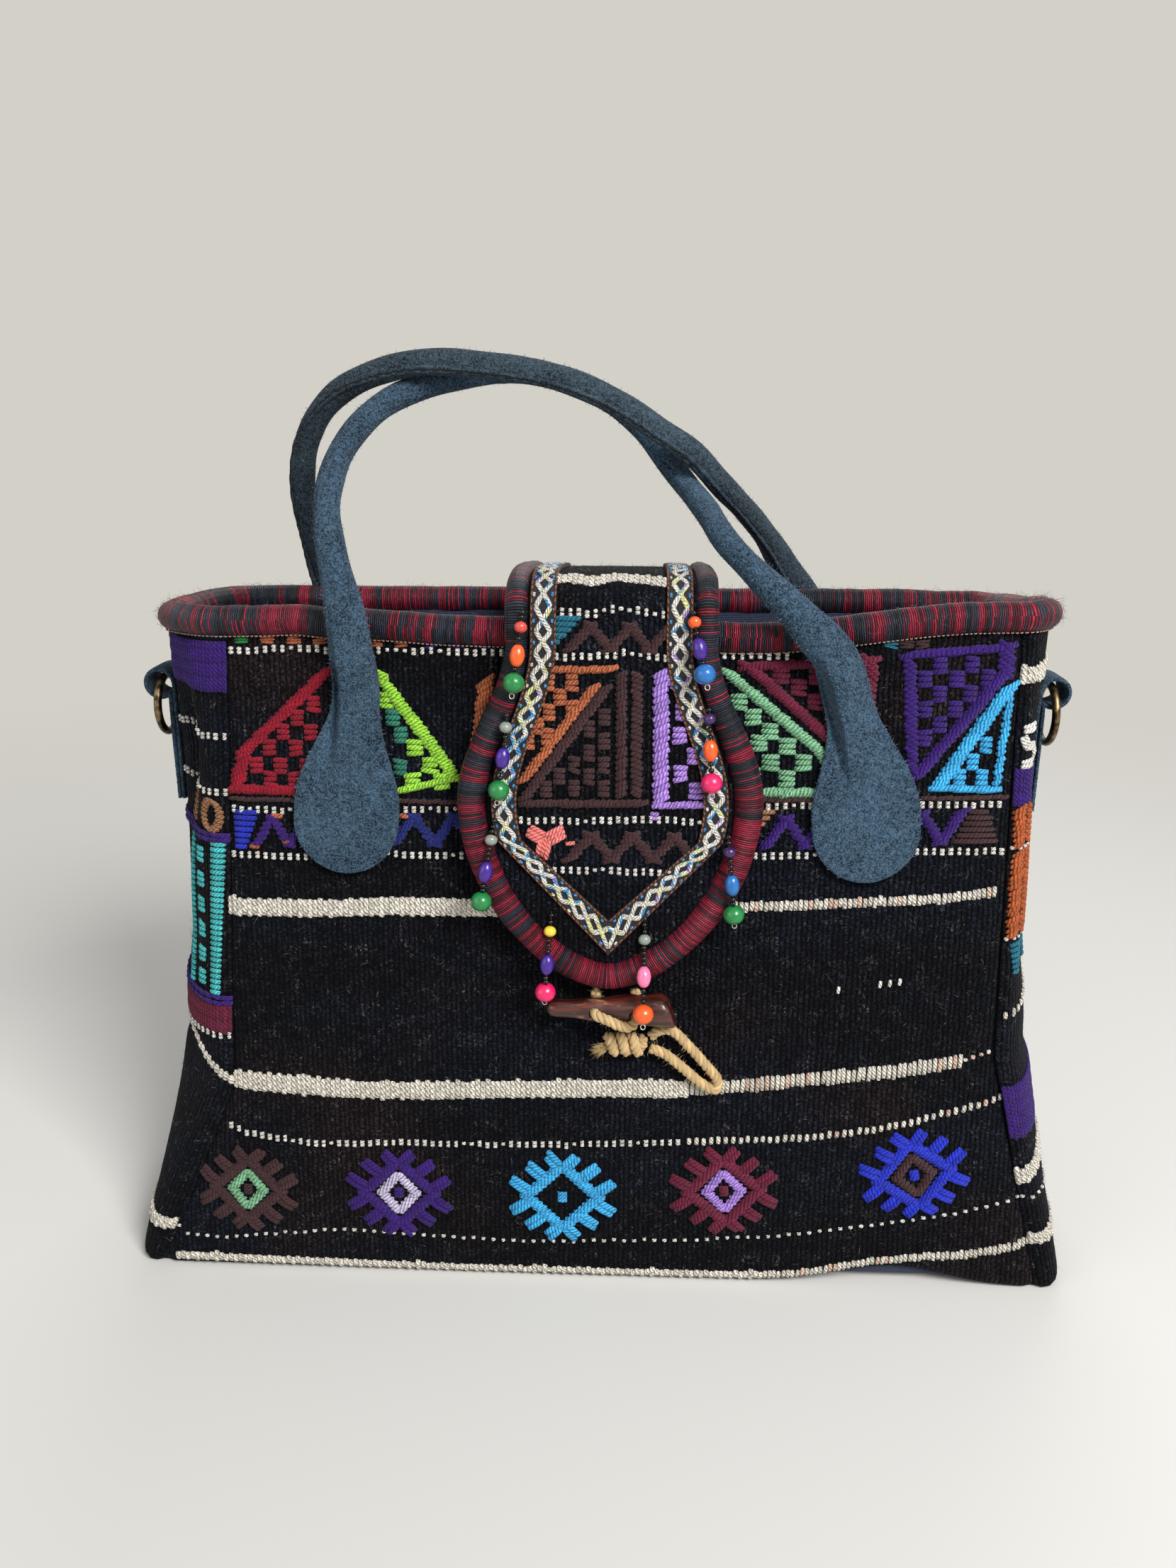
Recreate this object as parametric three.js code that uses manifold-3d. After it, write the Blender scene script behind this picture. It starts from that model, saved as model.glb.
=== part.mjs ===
import * as THREE from "three";
import Module from "manifold-3d";

// A tote bag sewn from a hand-woven wool blanket, standing open with its flap over the mouth.
// Millimetres, +Z up. The front faces -Y, and the origin is the middle of the base on the floor.

// Woven body: the base is a rectangle, the mouth is long and narrow with round ends
const baseWidth = 416;
const baseDepth = 140;
const baseCorner = 16;
const rimWidth = 364;
const sideWaist = 369;
const sideWaistHeight = 150;
const rimDepth = 82;
const rimHeight = 281;
const rimRise = 7;
const rimRiseFrom = 60;
const rimRiseTo = 150;
const seamTopLeft = 148;
const seamTopRight = 164;
const seamWaistLeft = 156;
const seamWaistRight = 167;
const flareLeft = 85;
const flareRight = 105;
const belly = 5;
const cloth = 3.2;
const liningCloth = 1.2;
const liningEase = 0.8;
const clearance = 0.3;

// Cords wrapped with yarn, round the mouth and round the flap
const rimCord = 12.5;
const flapCord = 12;

// Flap: sewn to the back, folded over the mouth and hanging down the front to a rounded point
const flapMiddle = 5.5;
const flapWidth = 109;
const flapNeck = 71;
const flapShoulder = 71;
const flapDrop = 135.5;
const flapRise = 15.6;
const flapBackDrop = 70;
const flapFoldSquareness = 0.6;
const flapPointed = 1.8;
const flapRounded = 0.6;
const trimWidth = 10;
const trimThickness = 1.2;
const trimInset = 1.2;
const trimBend = 50;
const trimTip = 9;

// Handles: leather, rolled to a tube, each end opened flat to a teardrop that is sewn on
const handleTube = 10.2;
const handleNeck = 19;
const handleLeather = 3;
const padWidth = 43;
const padLength = 72;
const padFull = 28;
const padDrop = 97;
const padRollFrom = 34.4;
const neckLength = 81;

// Side tabs: a folded strap that holds a round metal ring in its loop
const tabWidth = 18;
const tabLength = 52;
const tabDrop = 30;
const strapThickness = 2;
const loopBore = 10.4;
const ringDiameter = 25;
const ringWire = 3.4;
const ringRide = 2.2;

// Wooden toggle and the jute that ties it to the flap's point
const toggleLength = 51;
const toggleTip = 6.4;
const toggleEnd = 14.6;
const toggleCut = 2.8;
const toggleStart = -19.6;
const toggleDrop = 8;
const jute = 4.5;
const toggleHole = 5.6;
const toggleHoles = [0.6, 16.8];

// Jute loop for the toggle, knotted against the front
const knotAt = [13, 114.6];
const knotLength = 19;
const knotHeight = 11;
const knotThickness = 8;

// Bead pendants: places on the flap are across from its middle and up from its point
const smallBead = [5, 4.2];
const ovalBead = [5.7, 8.2];
const roundBead = [8.3, 7.4];
const seedBead = 2.2;
const thread = 1;
const beadBore = 1.6;
const overToggle = 7.5;
const pendants = [
  {
    name: "pendant_left_top", from: [-33.4, 144.5], to: [-36.6, 120.5], step: 10,
    colours: ["red", "orange", "green"],
  },
  {
    name: "pendant_left_mid", from: [-39.3, 109], to: [-43, 78], step: 12.5,
    colours: ["grey", "purple", "green"],
  },
  {
    name: "pendant_left_low", from: [-45, 66], to: [-50.3, 33], step: 12.5,
    colours: ["grey", "purple", "green"],
  },
  {
    name: "pendant_tip_left", from: [-22.7, 27.5], to: [-25.1, -5.5], step: 12.8,
    colours: ["yellow", "purple", "pink"],
  },
  {
    name: "pendant_tip_right", from: [14.6, 26.5], to: [14.4, -11], step: 14,
    colours: ["grey", "rose", "orange"],
  },
  {
    name: "pendant_right_top", from: [30.6, 145], to: [35.4, 124.5], step: 9,
    colours: ["orange", "purple", "blue"],
  },
  {
    name: "pendant_right_mid", from: [37.6, 111], to: [39.3, 82], step: 12.5,
    colours: ["plum", "orange", "pink"],
  },
  {
    name: "pendant_right_low", from: [46.5, 60.5], to: [49.5, 29], step: 12.8,
    colours: ["plum", "blue", "green"],
  },
];

// How finely curved pieces are faceted
const frontSteps = 16;
const backSteps = 12;
const sideSteps = 8;
const cordSides = 8;
const handleSides = 8;
const threadSides = 5;

const colours = {
  wool: "#15161c",
  lining: "#2b3550",
  wrap: "#5b1a2b",
  trim: "#3a3b45",
  leather: "#46566c",
  metal: "#6b5a45",
  wood: "#3a1a14",
  jute: "#a58a62",
  thread: "#0c0c0e",
  red: "#d8423a",
  orange: "#f0561c",
  green: "#2f9a48",
  grey: "#9fb0ad",
  purple: "#46208c",
  yellow: "#e9c63a",
  pink: "#e0195f",
  rose: "#ef6f9f",
  blue: "#2149b8",
  plum: "#33194f",
};

const mix = THREE.MathUtils.lerp;
const ease = THREE.MathUtils.smoothstep;
const sharpen = (value, power) => Math.sign(value) * Math.abs(value) ** power;
const bag = new THREE.Group();

// Adds a named piece in its own material and returns it.
function piece(name, geometry, colour, { roughness = 0.9, metalness = 0, parent = bag } = {}) {
  const material = new THREE.MeshStandardMaterial({ color: colours[colour], roughness, metalness });
  const mesh = new THREE.Mesh(geometry, material);
  mesh.name = name;
  parent.add(mesh);
  return mesh;
}

// A closed body from points and triangles, turned so that its faces point outwards.
function closedBody(points, triangles) {
  let volume = 0;
  for (const [a, b, c] of triangles) {
    volume += new THREE.Vector3().crossVectors(points[a], points[b]).dot(points[c]);
  }
  const faces = volume > 0 ? triangles : triangles.map(([a, b, c]) => [a, c, b]);
  const geometry = new THREE.BufferGeometry().setFromPoints(points);
  geometry.setIndex(faces.flat());
  geometry.computeVertexNormals();
  return geometry;
}

// A body skinned over rings of points. Its ends get lids, or its last ring joins its first.
function loft(rings, joined = false) {
  const sides = rings[0].length;
  const points = rings.flat();
  const triangles = [];
  const spans = joined ? rings.length : rings.length - 1;
  for (let i = 0; i < spans; i++) {
    const here = i * sides;
    const next = ((i + 1) % rings.length) * sides;
    for (let j = 0; j < sides; j++) {
      const k = (j + 1) % sides;
      triangles.push([here + j, here + k, next + k], [here + j, next + k, next + j]);
    }
  }
  if (!joined) {
    const lids = [[0, 1], [(rings.length - 1) * sides, -1]];
    for (const [start, turn] of lids) {
      const middle = new THREE.Vector3();
      points.slice(start, start + sides).forEach((point) => middle.addScaledVector(point, 1 / sides));
      const centre = points.push(middle) - 1;
      for (let j = 0; j < sides; j++) {
        const pair = [start + j, start + ((j + 1) % sides)];
        triangles.push(turn > 0 ? [pair[1], pair[0], centre] : [pair[0], pair[1], centre]);
      }
    }
  }
  return closedBody(points, triangles);
}

// A sheet with thickness between two grids of points, closed round its four edges.
function sheet(outer, inner) {
  const rows = outer.length;
  const columns = outer[0].length;
  const points = [...outer.flat(), ...inner.flat()];
  const face = (j, i) => j * columns + i;
  const back = (j, i) => (rows + j) * columns + i;
  const triangles = [];
  const quad = (a, b, c, d) => triangles.push([a, b, c], [a, c, d]);
  for (let j = 0; j < rows - 1; j++) {
    for (let i = 0; i < columns - 1; i++) {
      quad(face(j, i), face(j, i + 1), face(j + 1, i + 1), face(j + 1, i));
      quad(back(j, i), back(j + 1, i), back(j + 1, i + 1), back(j, i + 1));
    }
  }
  for (let i = 0; i < columns - 1; i++) {
    quad(back(0, i), back(0, i + 1), face(0, i + 1), face(0, i));
    quad(face(rows - 1, i), face(rows - 1, i + 1), back(rows - 1, i + 1), back(rows - 1, i));
  }
  for (let j = 0; j < rows - 1; j++) {
    quad(face(j, 0), face(j + 1, 0), back(j + 1, 0), back(j, 0));
    quad(back(j, columns - 1), back(j + 1, columns - 1), face(j + 1, columns - 1), face(j, columns - 1));
  }
  return closedBody(points, triangles);
}

// A ring of points round a centre, in the plane of two directions, as an oval.
function oval(centre, sides, across, halfWidth, through, halfThickness) {
  return Array.from({ length: sides }, (_, j) => {
    const angle = (2 * Math.PI * (j + 0.5)) / sides;
    return centre
      .clone()
      .addScaledVector(across, halfWidth * Math.cos(angle))
      .addScaledVector(through, halfThickness * Math.sin(angle));
  });
}

// Body outline

const wallTop = rimHeight - rimCord / 2 - clearance;
const wallBottom = cloth + clearance;

// Half the width of the front and back panels at a height, out to the seam on one side.
function seam(height, top, waist, flare) {
  if (height < flare) {
    return mix(baseWidth / 2 - baseCorner, waist, height / flare);
  }
  return mix(waist, top, (height - flare) / (rimHeight - flare));
}

const seamLeft = (height) => seam(height, seamTopLeft, seamWaistLeft, flareLeft);
const seamRight = (height) => seam(height, seamTopRight, seamWaistRight, flareRight);
const cornerDepth = (height) => mix(baseDepth / 2, (rimDepth + cloth) / 2, height / rimHeight);

// Half the width of the whole body at a height: the sides are drawn in above the base.
function sideReach(height) {
  if (height < sideWaistHeight) {
    return mix(baseWidth / 2, sideWaist / 2, height / sideWaistHeight);
  }
  const share = (height - sideWaistHeight) / (rimHeight - sideWaistHeight);
  return mix(sideWaist / 2, (rimWidth + cloth) / 2, share);
}

// Half the depth of the body at a place on the front or back, with its soft belly.
function bodyDepth(x, height) {
  const middle = (seamRight(height) - seamLeft(height)) / 2;
  const half = (seamRight(height) + seamLeft(height)) / 2;
  const offset = Math.min(1, Math.abs(x - middle) / half);
  const bulge = belly * Math.sin((Math.PI * height) / rimHeight);
  return cornerDepth(height) + bulge * (1 - offset ** 2);
}

// The outline at a height, from the front left seam round to the right, the back and the left.
function outline(height) {
  const left = -seamLeft(height);
  const right = seamRight(height);
  const depth = cornerDepth(height);
  const reach = sideReach(height);
  const squareness = mix(0.5, 1, ease(height, 0, flareLeft));
  const points = [];
  for (let i = 0; i < frontSteps; i++) {
    const x = mix(left, right, i / frontSteps);
    points.push(new THREE.Vector2(x, -bodyDepth(x, height)));
  }
  for (let i = 0; i < sideSteps; i++) {
    const turn = (Math.PI * i) / sideSteps;
    const x = right + (reach - right) * sharpen(Math.sin(turn), squareness);
    points.push(new THREE.Vector2(x, -depth * sharpen(Math.cos(turn), squareness)));
  }
  for (let i = 0; i < backSteps; i++) {
    const x = mix(right, left, i / backSteps);
    points.push(new THREE.Vector2(x, bodyDepth(x, height)));
  }
  for (let i = 0; i < sideSteps; i++) {
    const turn = (Math.PI * i) / sideSteps;
    const x = left - (reach + left) * sharpen(Math.sin(turn), squareness);
    points.push(new THREE.Vector2(x, depth * sharpen(Math.cos(turn), squareness)));
  }
  return points;
}

const around = frontSteps + sideSteps + backSteps + sideSteps;

// How far the rim stands up above its usual height: it lifts at the front right corner.
function lift(x, y) {
  const backward = ease(y, -rimDepth / 2, rimDepth / 2);
  return rimRise * ease(x, rimRiseFrom, rimRiseTo) * (1 - backward);
}

// Half the depth of the finished body at a place on its front (side -1) or its back (side 1).
function faceDepth(x, z, side) {
  const top = wallTop + lift(x, (side * rimDepth) / 2);
  return bodyDepth(x, (z * wallTop) / top);
}

// The wall at a height, set in from its outer face by a depth, as a ring of points.
function wallRing(height, depth = 0) {
  const points = outline(height);
  const share = height / wallTop;
  return points.map((point, i) => {
    const way = points[(i + 1) % around].clone().sub(points[(i + around - 1) % around]).normalize();
    const x = point.x - way.y * depth;
    const y = point.y + way.x * depth;
    return new THREE.Vector3(x, y, height + share * lift(point.x, point.y));
  });
}

const levels = [
  wallBottom, flareLeft / 3, (flareLeft * 2) / 3, flareLeft, flareRight,
  sideWaistHeight, mix(sideWaistHeight, wallTop, 0.33), mix(sideWaistHeight, wallTop, 0.67), wallTop,
];

// One panel of the wall between two seams, with half a clearance left at each seam.
function panel(firstSeam, steps) {
  const row = (height, depth) => {
    const ring = wallRing(height, depth);
    const points = Array.from({ length: steps + 1 }, (_, i) => ring[(firstSeam + i) % around].clone());
    const trim = (end, next) => end.lerp(next, clearance / 2 / end.distanceTo(next));
    trim(points[0], points[1]);
    trim(points[steps], points[steps - 1]);
    return points;
  };
  return sheet(levels.map((height) => row(height, 0)), levels.map((height) => row(height, cloth)));
}

const rightSeam = frontSteps;
const backSeam = rightSeam + sideSteps;
const leftSeam = backSeam + backSteps;
piece("front_panel", panel(0, frontSteps), "wool");
piece("right_gusset", panel(rightSeam, sideSteps), "wool");
piece("back_panel", panel(backSeam, backSteps), "wool");
piece("left_gusset", panel(leftSeam, sideSteps), "wool");

const floorRing = (height) => wallRing(0).map((point) => point.setZ(height));
piece("base_panel", loft([floorRing(0), floorRing(cloth)]), "wool");

// The lining is a thin bag inside the walls, with its own floor
const liningLevels = [...levels.filter((height) => height <= sideWaistHeight), wallTop];
const liningOuter = liningLevels.map((height) => wallRing(height, cloth + liningEase));
const liningInner = liningLevels.map((height) => wallRing(height, cloth + liningEase + liningCloth));
liningInner[0].forEach((point) => point.setZ(wallBottom + liningCloth));
piece("lining", loft([...liningOuter, ...liningInner.reverse()]), "lining");

// The rim cord stands on the top edges of the four panels
const rimMiddle = (x) => bodyDepth(x, wallTop) - cloth / 2;
const rimPoints = wallRing(wallTop, cloth / 2);
const up = new THREE.Vector3(0, 0, 1);
const rimRings = rimPoints.map((point, i) => {
  const way = rimPoints[(i + 1) % around].clone().sub(rimPoints[(i + around - 1) % around]).normalize();
  const across = new THREE.Vector3().crossVectors(way, up).normalize();
  const middle = point.clone().setZ(point.z + rimCord / 2 + clearance);
  const through = new THREE.Vector3().crossVectors(across, way);
  return oval(middle, cordSides, across, rimCord / 2, through, rimCord / 2);
});
piece("rim_cord", loft(rimRings, true), "wrap");

// Flap

const flapTipZ = rimHeight - flapDrop;
const flapStandoff = flapCord / 2 + clearance;
const flapAtRim = rimMiddle(flapMiddle) + rimCord / 2 + 2 * clearance + flapCord / 2;

// The flap's middle surface, seen from the side: up the front from its point, over and down the back.
function flapProfile() {
  const points = [];
  const tipDepth = bodyDepth(flapMiddle, flapTipZ) + flapStandoff;
  for (let k = 0; k < 5; k++) {
    const z = mix(flapTipZ, rimHeight, k / 5);
    const clear = bodyDepth(flapMiddle, z) + flapStandoff;
    points.push(new THREE.Vector3(0, -Math.max(clear, mix(tipDepth, flapAtRim, k / 5)), z));
  }
  for (let k = 0; k <= 8; k++) {
    const turn = (Math.PI * k) / 8;
    const y = -flapAtRim * sharpen(Math.cos(turn), flapFoldSquareness);
    const z = rimHeight + flapRise * sharpen(Math.sin(turn), flapFoldSquareness);
    points.push(new THREE.Vector3(0, y, z));
  }
  for (let k = 1; k <= 3; k++) {
    const z = rimHeight - (flapBackDrop * k) / 3;
    points.push(new THREE.Vector3(0, Math.max(flapAtRim, bodyDepth(flapMiddle, z) + flapStandoff), z));
  }
  return new THREE.CatmullRomCurve3(points);
}

const flapCurve = flapProfile();
const flapLength = flapCurve.getLength();

// The frame of the flap at a place across from its middle and up from its point,
// raised off its middle surface.
function flapFrame(across, upward, raised = 0) {
  const share = THREE.MathUtils.clamp(upward / flapLength, 0, 1);
  const along = flapCurve.getTangentAt(share);
  const out = new THREE.Vector3(0, -along.z, along.y);
  const point = flapCurve.getPointAt(share);
  point.x = flapMiddle + across;
  point.addScaledVector(along, upward - share * flapLength).addScaledVector(out, raised);
  return { point, along, out };
}

const flapPoint = (across, upward, raised) => flapFrame(across, upward, raised).point;

// Half the flap's width at a distance up from its point, inside the edge cord's middle by an inset.
function flapHalf(upward, inset = 0) {
  const widest = flapWidth / 2 - inset;
  if (upward < flapShoulder) {
    const below = Math.min(1, (flapShoulder - upward) / (flapShoulder - inset));
    return widest * (1 - below ** flapPointed) ** flapRounded;
  }
  const share = Math.min(1, (upward - flapShoulder) / (flapDrop - flapShoulder));
  return mix(widest, flapNeck / 2 - inset, (1 - Math.cos(Math.PI * share)) / 2);
}

// Distances up from the point: close together round the point and over the fold.
function flapStations(inset, firstTurn) {
  const stations = [];
  const turns = 6;
  for (let k = 0; k < turns; k++) {
    const turn = mix(firstTurn, Math.PI / 2, k / turns);
    stations.push(flapShoulder - (flapShoulder - inset) * Math.cos(turn));
  }
  const shoulderSteps = 5;
  for (let k = 0; k < shoulderSteps; k++) {
    stations.push(mix(flapShoulder, flapDrop, k / shoulderSteps));
  }
  const foldSteps = 14;
  for (let k = 0; k <= foldSteps; k++) {
    stations.push(mix(flapDrop, flapLength, k / foldSteps));
  }
  return stations;
}

const flapInset = flapCord / 2 + 2 * clearance;
const flapFirstTurn = 0.25;
const flapColumns = [-1, -0.66, -0.33, 0, 0.33, 0.66, 1];
const flapRows = flapStations(flapInset, flapFirstTurn);
const flapFace = (raised) =>
  flapRows.map((upward) => {
    const half = flapHalf(upward, flapInset);
    return flapColumns.map((side) => flapPoint(side * half, upward, raised));
  });
piece("flap_panel", sheet(flapFace(cloth / 2), flapFace(-cloth / 2)), "wool");

// The edge cord runs down one side of the flap, round its point and up the other
const cordUps = flapStations(0, 0);
const cordHalf = cordUps.map((upward) => [flapHalf(upward), upward]);
const cordRoute = [...cordHalf.slice(1).reverse().map(([half, upward]) => [-half, upward]), ...cordHalf];
const flapCordRings = cordRoute.map(([across, upward], i) => {
  const before = cordRoute[Math.max(0, i - 1)];
  const after = cordRoute[Math.min(cordRoute.length - 1, i + 1)];
  const way = new THREE.Vector2(after[0] - before[0], after[1] - before[1]).normalize();
  const { point, along, out } = flapFrame(across, upward);
  const sideways = new THREE.Vector3(way.y, 0, 0).addScaledVector(along, -way.x);
  return oval(point, cordSides, sideways, flapCord / 2, out, flapCord / 2);
});
piece("flap_cord", loft(flapCordRings), "wrap");

// The braid trim lies on the flap inside its cord and meets in a straight-sided V above the point
const trimOuterInset = flapInset + trimInset;
const trimStraight = flapRows.filter((upward) => upward > trimBend);
const trimSide = trimStraight.map((upward) => {
  const half = flapHalf(upward, trimOuterInset);
  return [[half, upward], [half - trimWidth, upward]];
});
const trimTipUp = trimOuterInset + trimTip;
const trimCorner = trimSide[0];
const trimSlope = Math.atan2(trimCorner[0][1] - trimTipUp, trimCorner[0][0]);
const trimInnerTip = trimTipUp + trimWidth / Math.cos(trimSlope);
const trimVee = [0, 0.25, 0.5, 0.75].map((share) => [
  [mix(0, trimCorner[0][0], share), mix(trimTipUp, trimCorner[0][1], share)],
  [mix(0, trimCorner[1][0], share), mix(trimInnerTip, trimCorner[1][1], share)],
]);
const trimHalf = [...trimVee, ...trimSide];
const mirror = ([across, upward]) => [-across, upward];
const mirrored = trimHalf.slice(1).reverse().map((pair) => pair.map(mirror));
const trimRoute = [...mirrored, ...trimHalf];
const trimBottom = cloth / 2 + clearance;
const trimFace = (raised) =>
  trimRoute.map((pair) => pair.map(([across, upward]) => flapPoint(across, upward, raised)));
piece("flap_trim", sheet(trimFace(trimBottom + trimThickness), trimFace(trimBottom)), "trim");

// Handles

// Half width and half thickness of a handle at a distance from its nearer end.
function handleSection(fromEnd) {
  const round = padWidth / 2;
  if (fromEnd < round) {
    const thickness = handleLeather / 2;
    return [Math.sqrt(Math.max(0, round ** 2 - (round - fromEnd) ** 2)), thickness];
  }
  const pad = ease(fromEnd, padFull, padLength);
  const neck = ease(fromEnd, padLength, padLength + neckLength);
  const width = mix(mix(round, handleNeck / 2, pad), handleTube / 2, neck);
  const rolled = ease(fromEnd, padRollFrom, padLength + neckLength / 3);
  return [width, mix(handleLeather / 2, handleTube / 2, rolled)];
}

// Distances from either end of a handle: close together round the end of the teardrop
const endStations = [0.6, 3.5, 9, 17, 27, 38, 50, 62, 75, 92, 110, 132];
const loopSteps = 14;

// A handle on the front (side -1) or the back (side 1): its two sewn ends and the free loop between them.
function handle(side, leftEnd, rightEnd, loop) {
  const padBottom = rimHeight - padDrop;
  const onPanel = ([x, rise]) => {
    const z = padBottom + rise;
    const away = faceDepth(x, z, side) + handleSection(rise)[1] + 2 * clearance;
    return new THREE.Vector3(x, side * away, z);
  };
  const atRim = (x, above) => {
    const fromEnd = padDrop + above;
    const away = rimMiddle(x) + rimCord / 2 + handleSection(fromEnd)[1] + clearance;
    return new THREE.Vector3(x, side * away, rimHeight + above + lift(x, side * away));
  };
  const end = ({ pad, rim }) => [...pad.map(onPanel), ...rim.map(([x, above]) => atRim(x, above))];
  const free = loop.map(([x, y, above]) => new THREE.Vector3(x, y, rimHeight + above));
  const curve = new THREE.CatmullRomCurve3([...end(leftEnd), ...free, ...end(rightEnd).reverse()]);
  const length = curve.getLength();
  const last = endStations.at(-1);
  const middle = [];
  for (let i = 1; i < loopSteps; i++) {
    middle.push(mix(last, length - last, i / loopSteps));
  }
  const stations = [...endStations, ...middle, ...endStations.map((fromEnd) => length - fromEnd).reverse()];
  const rings = stations.map((distance) => {
    const along = curve.getTangentAt(distance / length);
    const { x, z } = curve.getPointAt(distance / length);
    const slope = z < wallTop ? faceDepth(x + 0.5, z, side) - faceDepth(x - 0.5, z, side) : 0;
    const facing = new THREE.Vector3(side * slope, -1, 0);
    const across = new THREE.Vector3().crossVectors(along, facing).normalize();
    const through = new THREE.Vector3().crossVectors(across, along);
    const [width, thickness] = handleSection(Math.min(distance, length - distance));
    return oval(curve.getPointAt(distance / length), handleSides, across, width, through, thickness);
  });
  return loft(rings);
}

const frontLeftEnd = { pad: [[-103, 0], [-100, 41], [-96, 72]], rim: [[-96, -8], [-97, 6]] };
const frontRightEnd = { pad: [[109, 0], [105.5, 41], [98, 72]], rim: [[91, -8], [79, 6]] };
const frontLoop = [
  [-102, -50, 34], [-104.5, -40, 52], [-100.5, -25, 70], [-85, -9, 87], [-58, 4, 96.5], [-28, 11, 98.5],
  [-0.5, 13, 89], [16, 11.5, 77], [25, 9, 66], [33.5, 2, 55.5], [42, -14, 45.5], [51, -36, 33.5],
];
piece("front_handle", handle(-1, frontLeftEnd, frontRightEnd, frontLoop), "leather", { roughness: 0.8 });

const backLeftEnd = { pad: [[-118, 0], [-119, 41], [-122, 72]], rim: [[-126, -8], [-130, 6]] };
const backRightEnd = { pad: [[108, 0], [106, 41], [102, 72]], rim: [[96, -8], [88, 6]] };
const backLoop = [
  [-132, 44, 23.5], [-133, 30, 50], [-124, 14, 74.5], [-105, 0, 92], [-76, -9, 101], [-44.5, -10, 100.5],
  [-16.5, -10, 95.5], [6, -9, 86.5], [23, -7, 76], [36.5, -4, 67], [48.5, 5, 55], [61, 21, 42.5],
  [74, 38, 27],
];
piece("back_handle", handle(1, backLeftEnd, backRightEnd, backLoop), "leather", { roughness: 0.8 });

// Side tabs and rings

const loopRadius = loopBore / 2 + strapThickness;
const tabHeight = rimHeight - tabDrop;

// The folded strap seen edge on: two layers up the gusset and one turn round the loop's bore.
function tabShape() {
  const shape = new THREE.Shape();
  const face = 2 * strapThickness;
  const meets = Math.acos((face - loopRadius) / loopRadius);
  shape.moveTo(0, -tabLength);
  shape.lineTo(face, -tabLength);
  shape.absarc(loopRadius, 0, loopRadius, -meets, Math.PI, false);
  shape.closePath();
  const bore = new THREE.Path();
  bore.absarc(loopRadius, 0, loopBore / 2, 0, 2 * Math.PI, true);
  shape.holes.push(bore);
  return shape;
}

for (const [name, side] of [["left", -1], ["right", 1]]) {
  const foot = sideReach(tabHeight - tabLength);
  const lean = Math.atan2(foot - sideReach(tabHeight), tabLength);
  const extrusion = { depth: tabWidth, bevelEnabled: false, curveSegments: 7 };
  const strap = new THREE.ExtrudeGeometry(tabShape(), extrusion);
  strap.translate(0, 0, -tabWidth / 2).rotateX(Math.PI / 2);
  const ring = new THREE.TorusGeometry(ringDiameter / 2, ringWire / 2, 6, 18);
  ring.rotateY(Math.PI / 2).translate(loopRadius, 0, ringRide - ringDiameter / 2);
  const holder = new THREE.Group();
  holder.position.set(side * (sideReach(tabHeight) + clearance), 0, tabHeight);
  holder.rotation.z = side > 0 ? 0 : Math.PI;
  const leaning = new THREE.Group();
  leaning.rotation.y = -lean;
  holder.add(leaning);
  bag.add(holder);
  piece(`${name}_ring_tab`, strap, "leather", { roughness: 0.8, parent: leaning });
  piece(`${name}_ring`, ring, "metal", { roughness: 0.4, metalness: 1, parent: leaning });
}

// Toggle

const wasm = await Module();
wasm.setup();

// The points and triangles of a closed geometry as a solid that can be cut.
function asSolid(geometry) {
  const welded = new Map();
  const vertices = [];
  const position = geometry.getAttribute("position");
  const weld = (i) => {
    const place = [position.getX(i), position.getY(i), position.getZ(i)];
    const key = place.map((value) => Math.round(value * 1e4)).join(",");
    if (!welded.has(key)) {
      welded.set(key, welded.size);
      vertices.push(...place);
    }
    return welded.get(key);
  };
  const triangles = [];
  const index = geometry.getIndex();
  for (let i = 0; i < index.count; i += 3) {
    const corners = [0, 1, 2].map((k) => weld(index.getX(i + k)));
    if (new Set(corners).size === 3) {
      triangles.push(...corners);
    }
  }
  const vertProperties = new Float32Array(vertices);
  const triVerts = new Uint32Array(triangles);
  return new wasm.Manifold(new wasm.Mesh({ numProp: 3, vertProperties, triVerts }));
}

function asGeometry(solid) {
  const mesh = solid.getMesh();
  const geometry = new THREE.BufferGeometry();
  geometry.setAttribute("position", new THREE.BufferAttribute(mesh.vertProperties, 3));
  geometry.setIndex(new THREE.BufferAttribute(mesh.triVerts, 1));
  geometry.computeVertexNormals();
  return geometry;
}

const flapTip = flapPoint(0, 0);
const toggleZ = flapTip.z - flapCord / 2 - toggleDrop;
const toggleY = -bodyDepth(flapMiddle, toggleZ) - clearance - toggleEnd / 2;
const strandTop = new THREE.Vector3(0, flapTip.y, flapTip.z - flapCord / 2 - clearance - jute / 2);
const holeSlant = Math.PI / 4;
const holeWay = new THREE.Vector3(0, -Math.cos(holeSlant), -Math.sin(holeSlant));
const toggleHalf = (x) => mix(toggleTip, toggleEnd, (x - toggleStart) / toggleLength) / 2;

// The toggle is a tapered branch with a rounded tip, cut off at a slant at its thick end
const toggleWaist = 0.55;
const toggleProfile = [
  [0, 0], [toggleTip * 0.32, 0.8], [toggleTip * 0.5, 4],
  [mix(toggleTip, toggleEnd, toggleWaist) / 2, toggleLength * toggleWaist],
  [toggleEnd / 2, toggleLength - 1.5], [toggleEnd / 2 - 1, toggleLength], [0, toggleLength],
].map(([radius, along]) => new THREE.Vector2(radius, along));
const branch = new THREE.LatheGeometry(toggleProfile, 12).rotateZ(-Math.PI / 2);
const branchPoints = branch.getAttribute("position");
for (let i = 0; i < branchPoints.count; i++) {
  const cut = ease(branchPoints.getX(i), toggleLength * 0.6, toggleLength);
  const slant = (-branchPoints.getZ(i) / (toggleEnd / 2)) * toggleCut * cut;
  branchPoints.setX(i, branchPoints.getX(i) + slant);
}
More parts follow.
